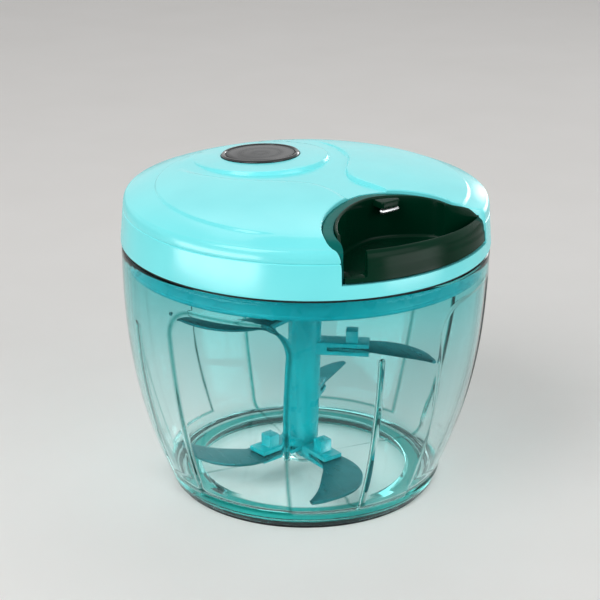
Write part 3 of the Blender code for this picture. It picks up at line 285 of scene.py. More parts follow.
# Zinc plate: a dull bluish grey, mottled by its crystals
ZINC = metal("zinc_plated_steel", "#C3C5C8", "#A9ADB5", 0.28, 0.42, 1.2 * MM, (1.0, 1.0, 1.0))
RUBBER = rubber("black_rubber")
CORD_YARN = yarn("braided_polyester")
DARK_ACRYLIC = glassy("dark_acrylic")


def add(name, data):
    """A new object of the scene that holds the data"""
    made = bpy.data.objects.new(name, data)
    scene.collection.objects.link(made)
    return made


def solid(name, grid, loop=False, sharp=30, marks=None):
    """A closed mesh from a grid of points (rows, columns, 3). Columns close on themselves. Rows
    close too if loop is set, and otherwise each end row is drawn together in its middle. Marks are
    a value for each point of the grid, kept as the attribute line."""
    rows, columns = grid.shape[:2]
    if not loop:
        ends = grid.mean(axis=1, keepdims=True).repeat(columns, 1)
        grid = np.concatenate([ends[:1], grid, ends[-1:]])
        rows += 2
    i = np.arange(rows if loop else rows - 1)[:, None]
    j = np.arange(columns)[None, :]
    here, below, beside = i * columns, (i + 1) % rows * columns, (j + 1) % columns
    quads = np.stack([here + j, below + j, below + beside, here + beside], -1)
    mesh = bpy.data.meshes.new(name)
    mesh.from_pydata(grid.reshape(-1, 3).tolist(), [], quads.reshape(-1, 4).tolist())
    if marks is not None:
        line = mesh.attributes.new("line", "FLOAT", "POINT")
        line.data.foreach_set("value", np.pad(marks, ((1, 1), (0, 0))).ravel())
    clean(mesh)
    smooth(mesh, sharp)
    return add(name, mesh)


def clean(mesh):
    """Merges a mesh's doubles and turns its faces outwards"""
    bm = bmesh.new()
    bm.from_mesh(mesh)
    bmesh.ops.remove_doubles(bm, verts=bm.verts, dist=0.001 * MM)
    bmesh.ops.recalc_face_normals(bm, faces=bm.faces)
    bm.to_mesh(mesh)
    bm.free()


def smooth(mesh, sharp):
    """Shades a mesh smooth but for the edges that bend by more than so many degrees"""
    mesh.shade_smooth()
    mesh.set_sharp_from_angle(angle=math.radians(sharp))


def full_turn(count):
    """Angles of a full turn, an even way apart"""
    return np.linspace(0, 2 * np.pi, count, endpoint=False)


def around(r, turns, z):
    """Points at radii, turns and heights: x = r sin a, y = -r cos a"""
    return np.stack([r * np.sin(turns), -r * np.cos(turns), z + 0 * turns], -1)


def spun(profile, columns):
    """Grid of a profile of (radius, height) turned about Z"""
    return around(profile[:, :1], full_turn(columns), profile[:, 1:])


def eased(corners):
    """A profile whose corners are eased: each (r, z, size) corner becomes a quadratic curve
    between the points that lie size before and after it on the line, but no further than 45% of
    the way to the next corner"""
    corners = np.array(corners, float) * MM
    out = [corners[:1, :2]]
    t = np.linspace(0, 1, 5)[:, None]
    for before, here, after in zip(corners[:-2], corners[1:-1], corners[2:]):
        ends = []
        for other in (before, after):
            step = other[:2] - here[:2]
            length = np.hypot(*step)
            ends.append(here[:2] + step / length * min(here[2], length * 0.45))
        out.append((1 - t) ** 2 * ends[0] + 2 * t * (1 - t) * here[:2] + t * t * ends[1])
    out.append(corners[-1:, :2])
    return np.concatenate(out)


def turned(name, corners, columns, loop=False):
    """A solid turned about Z from the eased corners of its profile"""
    return solid(name, spun(eased(corners), columns), loop=loop)


def carve(body, cutter):
    """Takes the cutter's space out of the body for good, and removes the cutter"""
    step = body.modifiers.new("carve", "BOOLEAN")
    step.operation, step.solver, step.object = "DIFFERENCE", "EXACT", cutter
    graph = bpy.context.evaluated_depsgraph_get()
    mesh = bpy.data.meshes.new_from_object(body.evaluated_get(graph))
    body.modifiers.clear()
    body.data = mesh
    bpy.data.objects.remove(cutter)


def joined(name, pieces):
    """One object that holds the meshes of several, each a closed body of its own"""
    bm = bmesh.new()
    for piece in pieces:
        bm.from_mesh(piece.data)
        bpy.data.objects.remove(piece)
    mesh = bpy.data.meshes.new(name)
    bm.to_mesh(mesh)
    bm.free()
    return add(name, mesh)


def place(made, body, finish, slot, *nodes):
    """Gives a piece its finish and its body, and hides the nodes that it stands for. The slot is
    not used.
    """
    made.data.materials.clear()
    made.data.materials.append(finish)
    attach(made, body)
    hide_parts(*nodes)


def finished(name, body, finish, slot, edge, limit=35):
    """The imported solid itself, merged into one skin, its sharp edges rounded"""
    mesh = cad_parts[name].data.copy()
    clean(mesh)
    smooth(mesh, limit)
    made = add(name + "_finished", mesh)
    step = made.modifiers.new("edges", "BEVEL")
    step.width, step.segments = edge, 2
    step.limit_method, step.angle_limit = "ANGLE", math.radians(limit)
    step.harden_normals = True
    place(made, body, finish, slot, name)


# ---------------------------------------------------------------- camera, light and floor

ahead = Vector(
    (
        math.sin(CAMERA_YAW) * math.cos(CAMERA_PITCH),
        math.cos(CAMERA_YAW) * math.cos(CAMERA_PITCH),
        -math.sin(CAMERA_PITCH),
    )
)
right = Vector((math.cos(CAMERA_YAW), -math.sin(CAMERA_YAW), 0))
up = right.cross(ahead)
rolled_right = right * math.cos(CAMERA_ROLL) + up * math.sin(CAMERA_ROLL)
rolled_up = up * math.cos(CAMERA_ROLL) - right * math.sin(CAMERA_ROLL)
stand = Matrix((rolled_right, rolled_up, -ahead)).transposed().to_4x4()
stand.translation = (0, -CAMERA_BACK, CAMERA_UP)
camera = add("camera", bpy.data.cameras.new("camera"))
camera.matrix_world = Matrix.Rotation(CAMERA_TURN, 4, "Z") @ stand
camera.data.sensor_width = 36
camera.data.lens = LENS_PIXELS / FRAME_PIXELS * camera.data.sensor_width
scene.camera = camera
scene.view_settings.view_transform = "Standard"


def softbox(name, side, rise, distance, width, height, power):
    """An area lamp, side degrees right of the camera and rise degrees up, that faces the object's
    middle from a distance. Its sizes are in metres and its power is in watts."""
    data = bpy.data.lights.new(name, "AREA")
    data.shape, data.size, data.size_y, data.energy = "RECTANGLE", width, height, power
    made = add(name, data)
    a, e = CAMERA_TURN + math.radians(side), math.radians(rise)
    back = Vector((math.sin(a) * math.cos(e), -math.cos(a) * math.cos(e), math.sin(e)))
    made.location = back * distance + Vector((0, 0, 60 * MM))
    made.rotation_euler = (-back).to_track_quat("-Z", "Y").to_euler()
    made.visible_camera = False
    return made


softbox("key", -42, 46, 0.9, 0.45, 0.6, 3.5)
softbox("left_card", -52, 0, 0.45, 0.46, 0.12, 1.1).visible_diffuse = False
softbox("right_card", 64, 0, 0.45, 0.30, 0.12, 0.6).visible_diffuse = False
softbox("fill", 55, 24, 1.0, 0.6, 0.5, 2.4)
softbox("back", 170, 50, 1.0, 0.8, 0.5, 1.2)
softbox("edge_card", 150, 7, 0.9, 0.35, 0.3, 1.6).visible_diffuse = False

# The world lights at 0.42, and is white to the rays that see it
world = bpy.data.worlds.new("studio")
scene.world = world
world.use_nodes = True
air = world.node_tree
seen = node(air, "LightPath")
either = node(
    air, "Math", {"operation": "MAXIMUM"}, {0: (seen, "Is Camera Ray"), 1: (seen, "Is Glossy Ray")}
)
shown = node(
    air, "Math", {"operation": "MAXIMUM"}, {0: (either, 0), 1: (seen, "Is Transmission Ray")}
)
strength = node(air, "MapRange", {3: 0.42}, {0: (shown, 0)})
backdrop = air.nodes["Background"]
backdrop.inputs["Color"].default_value = linear("#FFFFFF")
wire(air, backdrop, {"Strength": (strength, 0)})

# Pale stone worktop: matt, in two near greys that drift into each other as soft clouds
floor_finish, tree, shader, at = blank("pale_worktop")
cloud = node(tree, "TexNoise", {"Scale": per(60 * MM), "Detail": 5.0}, at)
tones = {"data_type": "RGBA", 6: linear("#EAE8E5"), 7: linear("#F0EEEC")}
tint = node(tree, "Mix", tones, {0: (cloud, "Fac")})
shader.inputs["Roughness"].default_value = 0.8
shader.inputs["Specular IOR Level"].default_value = 0.05
wire(tree, shader, {"Base Color": (tint, 2)})
floor_mesh = bpy.data.meshes.new("floor")
far = 12.0
corners = [(-far, -far, 0), (far, -far, 0), (far, far, 0), (-far, far, 0)]
floor_mesh.from_pydata(corners, [], [(0, 1, 2, 3)])
floor_mesh.materials.append(floor_finish)
floor = add("floor", floor_mesh)

# ---------------------------------------------------------------- bowl

ARCH_TURNS = np.radians(26 + 90 * np.arange(4))
RIB_TURNS = np.radians(74.5 + 90 * np.arange(4))


def bowl_radius(z):
    """Outer radius: 49.8 mm at the base and up to 16.9 mm more, by 1 - (1 - height share)^2.45"""
    t = np.clip((z - BOWL_Z) / (RIM_Z - BOWL_Z), 0, 1)
    return 49.8 * MM + 16.9 * MM * (1 - (1 - t) ** 2.45)


def off_turn(turns, centres):
    """Angle from each turn to the nearest centre"""
    apart = (turns[None, :] - centres[:, None] + np.pi) % (2 * np.pi) - np.pi
    return apart[np.abs(apart).argmin(0), np.arange(len(turns))]


def bowl_turns():
    """Columns round the bowl: 3 degrees apart in general, close by the arches' sides and ribs"""
    plain = np.radians(np.arange(0, 360, 3.0))
    sides = np.radians(np.concatenate([np.arange(-24, -11, 0.5), np.arange(11.5, 24.5, 0.5)]))
    ribs = np.radians(np.arange(-1.6, 1.7, 0.2))
    close = [(ARCH_TURNS[:, None] + sides).ravel(), (RIB_TURNS[:, None] + ribs).ravel()]
    turns = np.sort(np.concatenate([plain, *close]) % (2 * np.pi))
    return turns[np.concatenate([[True], np.diff(turns) > np.radians(0.12)])]


def ease(x):
    """0 below 0, 1 above 1, and 3x^2 - 2x^3 between"""
    x = np.clip(x, 0, 1)
    return x * x * (3 - 2 * x)


def arch_depth(turns, z):
    """How far the arched facets lie in: 0.8 mm inside an outline whose sides lean from 17.5 mm half
    width at 7 mm height to 23 mm at 73 mm, with 11 mm corners and a top at 84 mm. The signed
    distance to that outline eases over 2.4 mm."""
    across = np.abs(bowl_radius(z) * np.sin(off_turn(turns, ARCH_TURNS)))
    half = 17.5 * MM + 5.5 * MM * np.clip((z - 7 * MM) / (66 * MM), 0, 1)
    corner = 11 * MM
    x, y = across - (half - corner), z - (84 * MM - corner)
    far = np.hypot(np.maximum(x, 0), np.maximum(y, 0)) + np.minimum(np.maximum(x, y), 0) - corner
    far = np.maximum(far, 7 * MM - z)
    return FACET_DEPTH * ease(0.5 - far / (2.4 * MM))


def rib_height(turns, z):
    """How far the ribs stand in: 1 mm, 2.8 mm wide with eased sides, fading out at 70 mm height"""
    across = np.abs(bowl_radius(z) * off_turn(turns, RIB_TURNS))
    return RIB_RISE * ease(1.1 - across / (1.3 * MM)) * ease((70.5 * MM - z) / (1.5 * MM))


def bowl():
    """Floor with the foot socket, fillet, inner wall with ribs, rounded rim, outer wall with arched
    facets, and the underside with its groove and standing ring, as one skin round the bowl. Its
    marks, which set where the material paints its deep aqua shade, are the ribs' height in mm, and
    4 s (1 - s) where a facet lies in by a share s."""
    turns = bowl_turns()
    bend = FLOOR_Z + FILLET
    corner = bowl_radius(bend) - BOWL_WALL
    floor = eased(
        [
            (0, 5.8, 0), (3.3, 5.8, 0.3), (3.3, 7.6, 0.4), (5.3, 7.6, 0.4), (5.3, 5.8, 0.5),
            ((corner - FILLET) / MM, 5.8, 0),
        ]
    )
    a = np.linspace(0, np.pi / 2, 8)[1:]
    fillet = np.stack([corner - FILLET * (1 - np.sin(a)), bend - FILLET * np.cos(a)], -1)
    inner_z = np.concatenate(
        [
            np.linspace(bend, 68 * MM, 32)[1:], np.linspace(68.5 * MM, 71 * MM, 6),
            np.linspace(73 * MM, WALL_HIGH, 8),
        ]
    )
    inner = np.stack([bowl_radius(inner_z) - BOWL_WALL, inner_z], -1)
    a = np.linspace(0, np.pi, 9)[1:-1]
    rim_r = bowl_radius(RIM_Z) - BOWL_WALL / 2 * (1 + np.cos(a))
    rim = np.stack([rim_r, RIM_Z + 0.4 * MM - 1.1 * MM * (1 - np.sin(a))], -1)
    outer_z = np.concatenate(
        [
            np.linspace(WALL_HIGH, 85.5 * MM, 4), np.linspace(85 * MM, 71 * MM, 36),
            np.linspace(70 * MM, 9 * MM, 34), np.linspace(8.5 * MM, 5.5 * MM, 11),
            np.linspace(5 * MM, WALL_LOW, 4),
        ]
    )
    outer = np.stack([bowl_radius(outer_z), outer_z], -1)
    under = eased(
        [
            (bowl_radius(WALL_LOW) / MM, 2.4, 0), (49.4, 1.3, 0.7), (48.6, 1.3, 0.2),
            (48.6, 3.0, 0.2), (45.0, 3.4, 0.4), (44.2, 1.2, 0.4), (39.8, 1.2, 0.4),
            (39.0, 4.6, 0.4), (0, 4.6, 0),
        ]
    )[1:]
    profile = np.concatenate([floor, fillet, inner, rim, outer, under])
    inner_end = len(floor) + len(fillet) + len(inner)
    wall_in = slice(len(floor) - 1, inner_end)
    wall_out = slice(inner_end + len(rim), inner_end + len(rim) + len(outer))
    r = profile[:, :1] + 0 * turns
    r[wall_in] -= np.stack([rib_height(turns, z) for z in profile[wall_in, 1]])
    r[wall_out] -= np.stack([arch_depth(turns, z) for z in outer_z])
    depth = profile[:, :1] - r
    # These marks set where the bowl's material paints its deep aqua shade
    marks = (depth / MM).clip(0, 1)
    share = depth[wall_out] / FACET_DEPTH
    marks[wall_out] = 4 * share * (1 - share)
    made = solid("bowl_clear", around(r, turns, profile[:, 1:]), sharp=50, marks=marks)
    made.visible_shadow = False
    place(made, "bowl", CLEAR_SAN, "clear_teal_plastic", "bowl")


def foot():
    """Ring under the bowl's edge, seen as a thin line: 1 mm wide, 2.8 mm high, eased corners"""
    section = [
        (48.4, 1.6, 0), (48.4, 2.8, 0.2), (47.4, 2.8, 0.2), (47.4, 0, 0.3), (48.3, 0, 0.5),
        (48.4, 1.6, 0),
    ]
    made = turned("foot_rubber", section, 144, loop=True)
    place(made, "bowl", RUBBER, "black_rubber", "foot_ring")


bowl()
foot()

# ---------------------------------------------------------------- lid

# Points of a leaf: half its back, a side and half its mouth. The mouth runs from corner to
# corner, and its arc lies between them.
BACK_POINTS, SIDE_POINTS, MOUTH_POINTS = 49, 12, 24
CORNER = BACK_POINTS + SIDE_POINTS - 1
LEAF_POINTS = 2 * (CORNER + MOUTH_POINTS)
MOUTH, ARC = slice(CORNER, LEAF_POINTS - CORNER + 1), slice(CORNER + 1, LEAF_POINTS - CORNER)
# How far the step is spread out where the handle and the cover's inside follow it
WIDE_SPREAD = 14 * MM


def cover_top(plan, spread=0.9 * MM):
    """Height of the cover over plan points: a dome that falls with the 2.4th power of the radius,
    by 3.3 mm at 52.1 mm, and by 1.23 mm more from 53 mm; 0.8 mm lower beyond a circle of 56 mm
    that is set 3.2 mm towards the bay, except left of the bay, where that step dies out; then an
    elliptic shoulder"""
    x, y = plan[..., 0], plan[..., 1]
    r = np.hypot(x, y)
    turn = np.degrees(np.arctan2(x, -y))
    dome = DOME_Z - 3.3 * MM * (r / (52.1 * MM)) ** 2.4
    fall = 1.23 * MM * (np.clip(r - 53 * MM, 0, None) / (11.3 * MM)) ** 2.4
    beyond = 1 - ease(0.5 + (STEP_RADIUS - np.hypot(x, y + STEP_SHIFT)) / spread)
    stepped = np.maximum(ease((-48 - turn) / 12), ease((turn - 5) / 10))
    drop = 0.8 * MM * (1 - (1 - stepped) * ease((64 * MM - r) / (5 * MM)))
    bend = np.sqrt(np.clip(1 - ((r - SHOULDER_RADIUS) / (1.7 * MM)) ** 2, 0, 1))
    shoulder = CREASE_Z + 4.2 * MM * bend
    return np.where(r <= SHOULDER_RADIUS, dome - fall - beyond * drop, shoulder)


def within(plan, reach):
    """Plan points drawn in to a radius where they lie beyond it"""
    return plan * np.minimum(1, reach / np.maximum(np.hypot(*plan.T), MM))[:, None]


def leaf(left, right, depth, left_end, right_end, rim, offset=0.0):
    """Plan outline of the bay, from the middle of its back round the right side, the mouth and the
    left side. A side is x = half sin^1.21 a, y = widest + depth cos^1.21 a, then runs out to the
    mouth with the square of the way, and an arc of radius rim closes the front. The right side is
    widest 4 mm further in than the left."""
    power = 2 / 1.65
    a = np.linspace(0, np.pi / 2, BACK_POINTS)
    t = np.linspace(0, 1, SIDE_POINTS + 1)[1:]
    share = np.linspace(1, 0, MOUTH_POINTS + 1)[1:]
    sides = []
    for half, end, widest in ((right, right_end, WIDEST_Y + 4 * MM), (left, left_end, WIDEST_Y)):
        half, end = half + offset, end + offset
        mouth = -np.sqrt(rim**2 - end**2)
        back = WIDEST_Y + depth + offset - widest
        turn = np.arcsin(end / rim) * share
        x = [half * np.sin(a) ** power, half + (end - half) * t**2, rim * np.sin(turn)]
        y = [widest + back * np.cos(a) ** power, widest + (mouth - widest) * t, -rim * np.cos(turn)]
        sides.append(np.stack([np.concatenate(x), np.concatenate(y)], -1))
    return np.concatenate([sides[0], sides[1][-2:0:-1] * [-1, 1]])


def level(plan, z):
    """Plan points at a height, or at a height each"""
    return np.concatenate([plan, np.broadcast_to(z, (len(plan),))[:, None]], -1)


def bay_cutter():
    """The bay's space: its leaf from the sill up, with a rim that opens out by a 0.5 mm round. Its
    mouth lies 7% further out, clear of the skirt."""
    rounding = 0.5 * MM
    plan, wide = leaf(*BAY, 66.5 * MM), leaf(*BAY, 66.5 * MM, rounding)
    for outline in (plan, wide):
        outline[MOUTH] *= 1.07
    out = (wide - plan) / rounding
    top = cover_top(within(plan, CREASE_RADIUS))
    rows = [level(plan, SILL_Z), level(plan, top - rounding)]
    for a in np.radians((20, 40, 58)):
        opened = plan + out * rounding * (1 - np.cos(a))
        rows.append(level(opened, top - rounding * (1 - np.sin(a))))
    opened = plan + out * 1.1 * MM
    rows += [level(opened, top + 0.46 * MM), level(opened, DOME_Z + 4 * MM)]
    return solid("bay_cutter", np.stack(rows))


def keyhole_outline(count):
    """Points of the keyhole an even way apart, and the turn about the badge that each belongs to:
    two thirds of a 31.2 mm circle round the badge, a side that eases in to a neck of 6.5 mm half
    width at y = -15 mm, and one that widens by 3.5 mm with the square of the way to y = -34 mm.
    All bends are then eased by a bell curve 4.5 mm wide."""
    big, neck, neck_y, end_y = 31.2 * MM, 6.5 * MM, -15 * MM, -34 * MM
    a = np.linspace(0, 2 * np.pi / 3, 60)
    t = np.linspace(0, 1, 30)[1:]
    meet_x, meet_y = big * np.sin(a[-1]), BADGE_Y + big * np.cos(a[-1])
    x = [big * np.sin(a), meet_x + (neck - meet_x) * ease(t), neck + 3.5 * MM * t**2]
    y = [BADGE_Y + big * np.cos(a), meet_y + (neck_y - meet_y) * t, neck_y + (end_y - neck_y) * t]
    turn = [a, np.linspace(a[-1], np.pi, 59)[1:]]
    side = np.stack([np.concatenate(part) for part in (x, y, turn)], -1)
    corners = np.concatenate([side, side[::-1] * [-1, 1, -1] + [0, 0, 2 * np.pi]])
    way = np.concatenate([[0], np.cumsum(np.hypot(*np.diff(corners[:, :2], axis=0).T))])
    even = np.linspace(0, way[-1], count, endpoint=False)
    x, y, turn = (np.interp(even, way, column) for column in corners.T)
    waves = np.fft.fftfreq(count, way[-1] / count)[:, None] * 2 * np.pi * 4.5 * MM
    plan = np.fft.fft(np.stack([x, y], -1), axis=0) * np.exp(-(waves**2) / 2)
    return np.fft.ifft(plan, axis=0).real, turn


def keyhole_cutter():
    """The recess about the badge: a ring between the platform's circle of 25.5 mm and the keyhole.
    Its floor starts 1.5 mm under the dome and meets it at 49 mm from the middle. Its sides are
    rounded at the top, tightly on the right and far side and widely on the near left."""
    plan, turn = keyhole_outline(240)
    ring = np.stack([np.sin(turn), np.cos(turn)], -1)
    disc = np.array([0, BADGE_Y]) + 25.5 * MM * ring
    along = np.roll(plan, -1, 0) - np.roll(plan, 1, 0)
    out = np.stack([-along[:, 1], along[:, 0]], -1) / np.hypot(*along.T)[:, None]
    shift = np.array([BADGE_X, 0])
    disc, plan = disc + shift, plan + shift
    spread = (0.9 + 1.9 * ease(out @ [-0.9, -0.43])[:, None]) * MM

    def floor(points):
        r = np.hypot(*points.T)
        return cover_top(points) - 1.5 * MM * np.clip(1 - (r / (49 * MM)) ** 2.4, 0, 1)

    def riser(edge, outward, spread):
        made = []
        for across, sunk in ((0.25, 0.45), (0.5, 0.15), (0.95, -0.02), (1.5, -0.3)):
            at = edge + outward * spread * across
            made.append(level(at, np.maximum(cover_top(at) - sunk * MM, floor(edge) + 0.01 * MM)))
        return made + [level(at, cover_top(at) + 3 * MM)]

    inner, outer = disc + ring * 0.22 * MM, plan - out * spread * 0.25
    rows = []
    for k in np.linspace(0, 1, 9):
        points = outer * (1 - k) + inner * k
        rows.append(level(points, floor(points)))
    rows += riser(disc, -ring, 0.9 * MM) + riser(plan, out, spread)[::-1]
    return solid("keyhole_cutter", np.stack(rows), loop=True)


def badge_stand():
    """The badge's seat on the dome, square to the slope there"""
    top = float(cover_top(np.array([BADGE_X, BADGE_Y])))
    seat = Matrix.Translation((BADGE_X, BADGE_Y, top))
    return seat @ Matrix.Rotation(-BADGE_SLOPE, 4, "X")


def cover():
    """Dome, step, band, shoulder, the shadow line at the crease and the skirt outside, a 2.2 mm
    wall, then the keyhole recess, the bay and the badge's seat taken out, and the axle's boss and
    the screw posts inside. The rows of the turned outside are moved with the step's circle."""
    a = np.linspace(0, np.pi / 2, 9)[1:]
    rings = [np.linspace(0, 55.3, 24), np.linspace(55.55, 56.45, 7), np.linspace(56.8, 64.3, 10)]
    radii = np.concatenate([*rings, 64.3 + 1.7 * np.sin(a)]) * MM
    outside = np.stack([radii, np.full(len(radii), CREASE_Z)], -1)
    skirt = eased(
        [
            (66.0, 106.6, 0), (65.98, 106.45, 0.1), (65.7, 106.2, 0.1), (66.05, 105.9, 0.1),
            (66.98, 94.6, 0), (66.99, 93.8, 0.4), (64.8, 93.8, 0.4), (64.8, 95.0, 0),
        ]
    )
    inner = np.linspace(63.8, 0, 24) * MM
    under = cover_top(np.stack([inner, 0 * inner], -1), WIDE_SPREAD) - LID_WALL
    inside = np.stack([inner, under], -1)
    grid = spun(np.concatenate([outside, skirt[1:], [[63.85 * MM, CREASE_Z]], inside]), 288)
    share = ease(radii / (50 * MM)) * ease((SHOULDER_RADIUS - radii) / (6.5 * MM))
    top = grid[: len(radii)]
    top[..., 1] -= STEP_SHIFT * share[:, None]
    top[..., 2] = cover_top(top[..., :2])
    shell = solid("cover_shell", grid)
    carve(shell, keyhole_cutter())
    carve(shell, bay_cutter())
    seat = turned("seat_cutter", [(0, -1.3, 0), (14.9, -1.3, 0.2), (14.9, 4, 0), (0, 4, 0)], 96)
    seat.data.transform(badge_stand())
    carve(shell, seat)
    pieces = [shell]
    post = [
        (1.7, 96.7, 0.1), (1.7, 103, 0), (1.7, 112, 0), (3.4, 112, 0), (3.4, 96.7, 0.4),
        (1.7, 96.7, 0),
    ]
    for stand in SCREW_PLACES:
        pieces.append(turned("post", post, 32, loop=True))
        pieces[-1].data.transform(stand)
    boss = [
        (3.3, 111.4, 0), (3.3, 114.9, 0), (3.3, 116.4, 0), (5.6, 116.4, 0), (5.6, 111.4, 0.4),
        (3.3, 111.4, 0),
    ]
    pieces.append(turned("boss", boss, 48, loop=True))
    made = joined("cover_aqua", pieces)
    smooth(made.data, 28)
    place(made, "lid", AQUA_ABS, "aqua_plastic", "lid_cover")


def lid_base():
    """Plate under the cover with the screw holes, plug with a bead at its lower edge, and a collar
    about the hub"""
    section = [
        (10.4, 98.0, 0), (11.5, 98.0, 0.3), (11.5, 96.4, 0.4), (64.3, 96.4, 0.2), (64.3, 94.2, 0.1),
        (63.7, 94.2, 0.1), (63.7, 87.3, 0.2), (64.1, 87.0, 0.2), (64.1, 85.8, 0.4),
        (61.7, 85.8, 0.4), (61.7, 94.2, 0.6), (9.3, 94.2, 0.2), (9.3, 98.0, 0.2), (10.4, 98.0, 0),
    ]
    made = turned("base_teal", section, 192, loop=True)
    for stand in SCREW_PLACES:
        hole = turned("screw_hole", [(0, 93, 0), (1.7, 93, 0), (1.7, 98, 0), (0, 98, 0)], 32)
        hole.data.transform(stand)
        carve(made, hole)
    smooth(made.data, 30)
    place(made, "lid", TEAL_PP, "teal_plastic", "lid_base")


def seal():
    """Ring under the skirt that shows as a thin line at the seam: 1.7 mm wide, 0.8 mm high"""
    section = [
        (66.3, 93.2, 0), (66.3, 93.7, 0.15), (64.6, 93.7, 0.1), (64.6, 92.9, 0.1),
        (66.3, 92.9, 0.15), (66.3, 93.2, 0),
    ]
    made = turned("seal_rubber", section, 192, loop=True)
    place(made, "lid", RUBBER, "black_rubber", "seal_ring")


def cradle():
    """Tray under the bay: its outer wall, the ledge 1.2 mm under the cover round the handle, its
    inner wall and its floor. Round the mouth all rows lie at the sill, so it is open there."""
    side = np.ones(LEAF_POINTS, bool)
    side[ARC] = False
    inner = tuple(size + 0.3 * MM for size in HANDLE)

    def plan(sizes, rim, offset=0.0):
        mouth = leaf(*sizes, SHOULDER_RADIUS, offset)
        return np.where(side[:, None], leaf(*sizes, rim, offset), mouth)

    def above(points, sunk):
        top = cover_top(within(points, CREASE_RADIUS - 0.2 * MM))
        return np.where(side, top - sunk, SILL_Z)

    outer, edge = plan(BAY, SHOULDER_RADIUS, 1.8 * MM), plan(BAY, HANDLE_RIM, -0.3 * MM)
    hole = plan(inner, HANDLE_RIM)
    way = hole - edge
    length = np.maximum(np.hypot(*way.T), 0.2 * MM)[:, None]
    way = way / length * np.minimum(0.3 * MM, length * 0.4)
    rows = [
        level(outer, 96.7 * MM), level(outer, above(outer, 3.2 * MM)),
        level(edge, above(edge, 3.2 * MM)), level(edge, above(edge, 1.5 * MM)),
        level(edge + way * 0.3, above(edge, 1.28 * MM)),
    ]
    for k in np.linspace(0, 1, 5):
        points = edge + way + (hole - edge - 2 * way) * k
        rows.append(level(points, above(points, 1.2 * MM)))
    rows += [level(hole - way * 0.3, above(hole, 1.28 * MM)), level(hole, above(hole, 1.5 * MM))]
    rows += [level(hole, np.minimum(above(hole, 1.5 * MM), z * MM)) for z in (110, 105, 99.7)]
    rows += [level(hole + (CUP_MIDDLE - hole) * k, SILL_Z) for k in (0.04, 0.35, 0.7)]
    made = solid("cradle_tray", np.stack(rows), sharp=35)
    bore = turned("bore", [(0, -4, 0), (2.9, -4, 0), (2.9, 8, 0), (0, 8, 0)], 48)
    way_out = Matrix.Translation((CORD_X, -29 * MM, CORD_EXIT_Z))
    bore.data.transform(way_out @ Matrix.Rotation(-math.pi / 2, 4, "X"))
    carve(made, bore)
    smooth(made.data, 35)
    # The tray's dark teal is teal plastic with painted shade, the shade of its ledge under the
    # cover's edge
    place(made, "lid", TEAL_ABS_PAINTED_SHADE, "dark_teal_plastic", "handle_cradle")


cover()
lid_base()
seal()
finished("badge_bezel", "lid", BLACK_ABS, "gloss_black_plastic", 0.12 * MM, 20)
finished("badge_insert", "lid", DARK_ACRYLIC, "dark_glassy_plastic", 0.1 * MM, 20)
cradle()
finished("cord_eyelet", "lid", BRIGHT_STEEL, "stainless_steel", 0.15 * MM)
finished("axle_bolt", "lid", ZINC, "zinc_plated_steel", 0.2 * MM)
for k in (1, 2, 3, 4):
    finished(f"lid_screw_{k}", "lid", ZINC, "zinc_plated_steel", 0.15 * MM)

# ---------------------------------------------------------------- handle


def handle_top(plan):
    """The handle's top follows the cover, 0.4 mm under it, with the step spread over 14 mm. From a
    radius of 60 mm out it dips, by 1.2 mm more on the left and 3 mm more at the right tip."""
    x, r = plan[:, 0], np.hypot(*plan.T)
    dip = (1.2 + 1.8 * ease((x + 10 * MM) / (47 * MM))) * ease((r - 60 * MM) / (5.6 * MM))
    top = cover_top(within(plan * 66 / 65.6, CREASE_RADIUS), WIDE_SPREAD)
    return top - (0.4 + dip) * MM


def cup():
    """Leaf cup: outer wall, rim across the wall with rounded edges, inner wall, floor fillet and
    floor. Each row is the outer or inner plan, or a place between the two, at its height. The
    lowest row is drawn in by 1.5%."""
    low, floor = SILL_Z + 0.4 * MM, SILL_Z + 2.2 * MM
    foot, head = leaf(*HANDLE, 66.2 * MM), leaf(*HANDLE, HANDLE_RIM)
    hollow = leaf(*CAVITY, 63.4 * MM)
    across = hollow - head
    wide = np.hypot(*across.T)[:, None]
    across = across / wide
    inward = np.array([0, -48 * MM]) - hollow
    inward = inward / np.hypot(*inward.T)[:, None]
    round_out, round_in, fillet = 0.45 * MM, 0.6 * MM, 1.6 * MM
    quarter = np.linspace(0, np.pi / 2, 6)
    top = handle_top(head) - round_out
    rows = [level(foot * 0.985 + [0, -0.7 * MM], low), level(foot, low + 0.4 * MM)]
    for k in np.linspace(0, 1, 7)[1:]:
        z = low + 0.4 * MM + (top - low - 0.4 * MM) * k
        lean = np.clip((z - low) / (CREASE_Z - low), 0, 1)[:, None]
        rows.append(level(foot * (1 - lean) + head * lean, z))
    for a in quarter[1:]:
        plan = head + across * round_out * (1 - np.cos(a))
        rows.append(level(plan, handle_top(plan) - round_out * (1 - np.sin(a))))
    for k in np.linspace(0, 1, 7)[1:-1]:
        plan = head + across * (round_out + (wide - round_out - round_in) * k)
        rows.append(level(plan, handle_top(plan)))
    for a in quarter[::-1]:
        plan = hollow - across * round_in * (1 - np.cos(a))
        rows.append(level(plan, handle_top(plan) - round_in * (1 - np.sin(a))))
    rim = handle_top(hollow) - round_in
    for k in np.linspace(1, 0, 6)[1:]:
        rows.append(level(hollow, floor + fillet + (rim - floor - fillet) * k))
    for a in quarter[1:]:
        plan = hollow + inward * fillet * (1 - np.cos(a))
        rows.append(level(plan, floor + fillet * (1 - np.sin(a))))
    for k in (0.75, 0.5, 0.25):
        plan = CUP_MIDDLE + (hollow + inward * fillet - CUP_MIDDLE) * k
        rows.append(level(plan, floor))
    return solid("handle_cup", np.stack(rows))


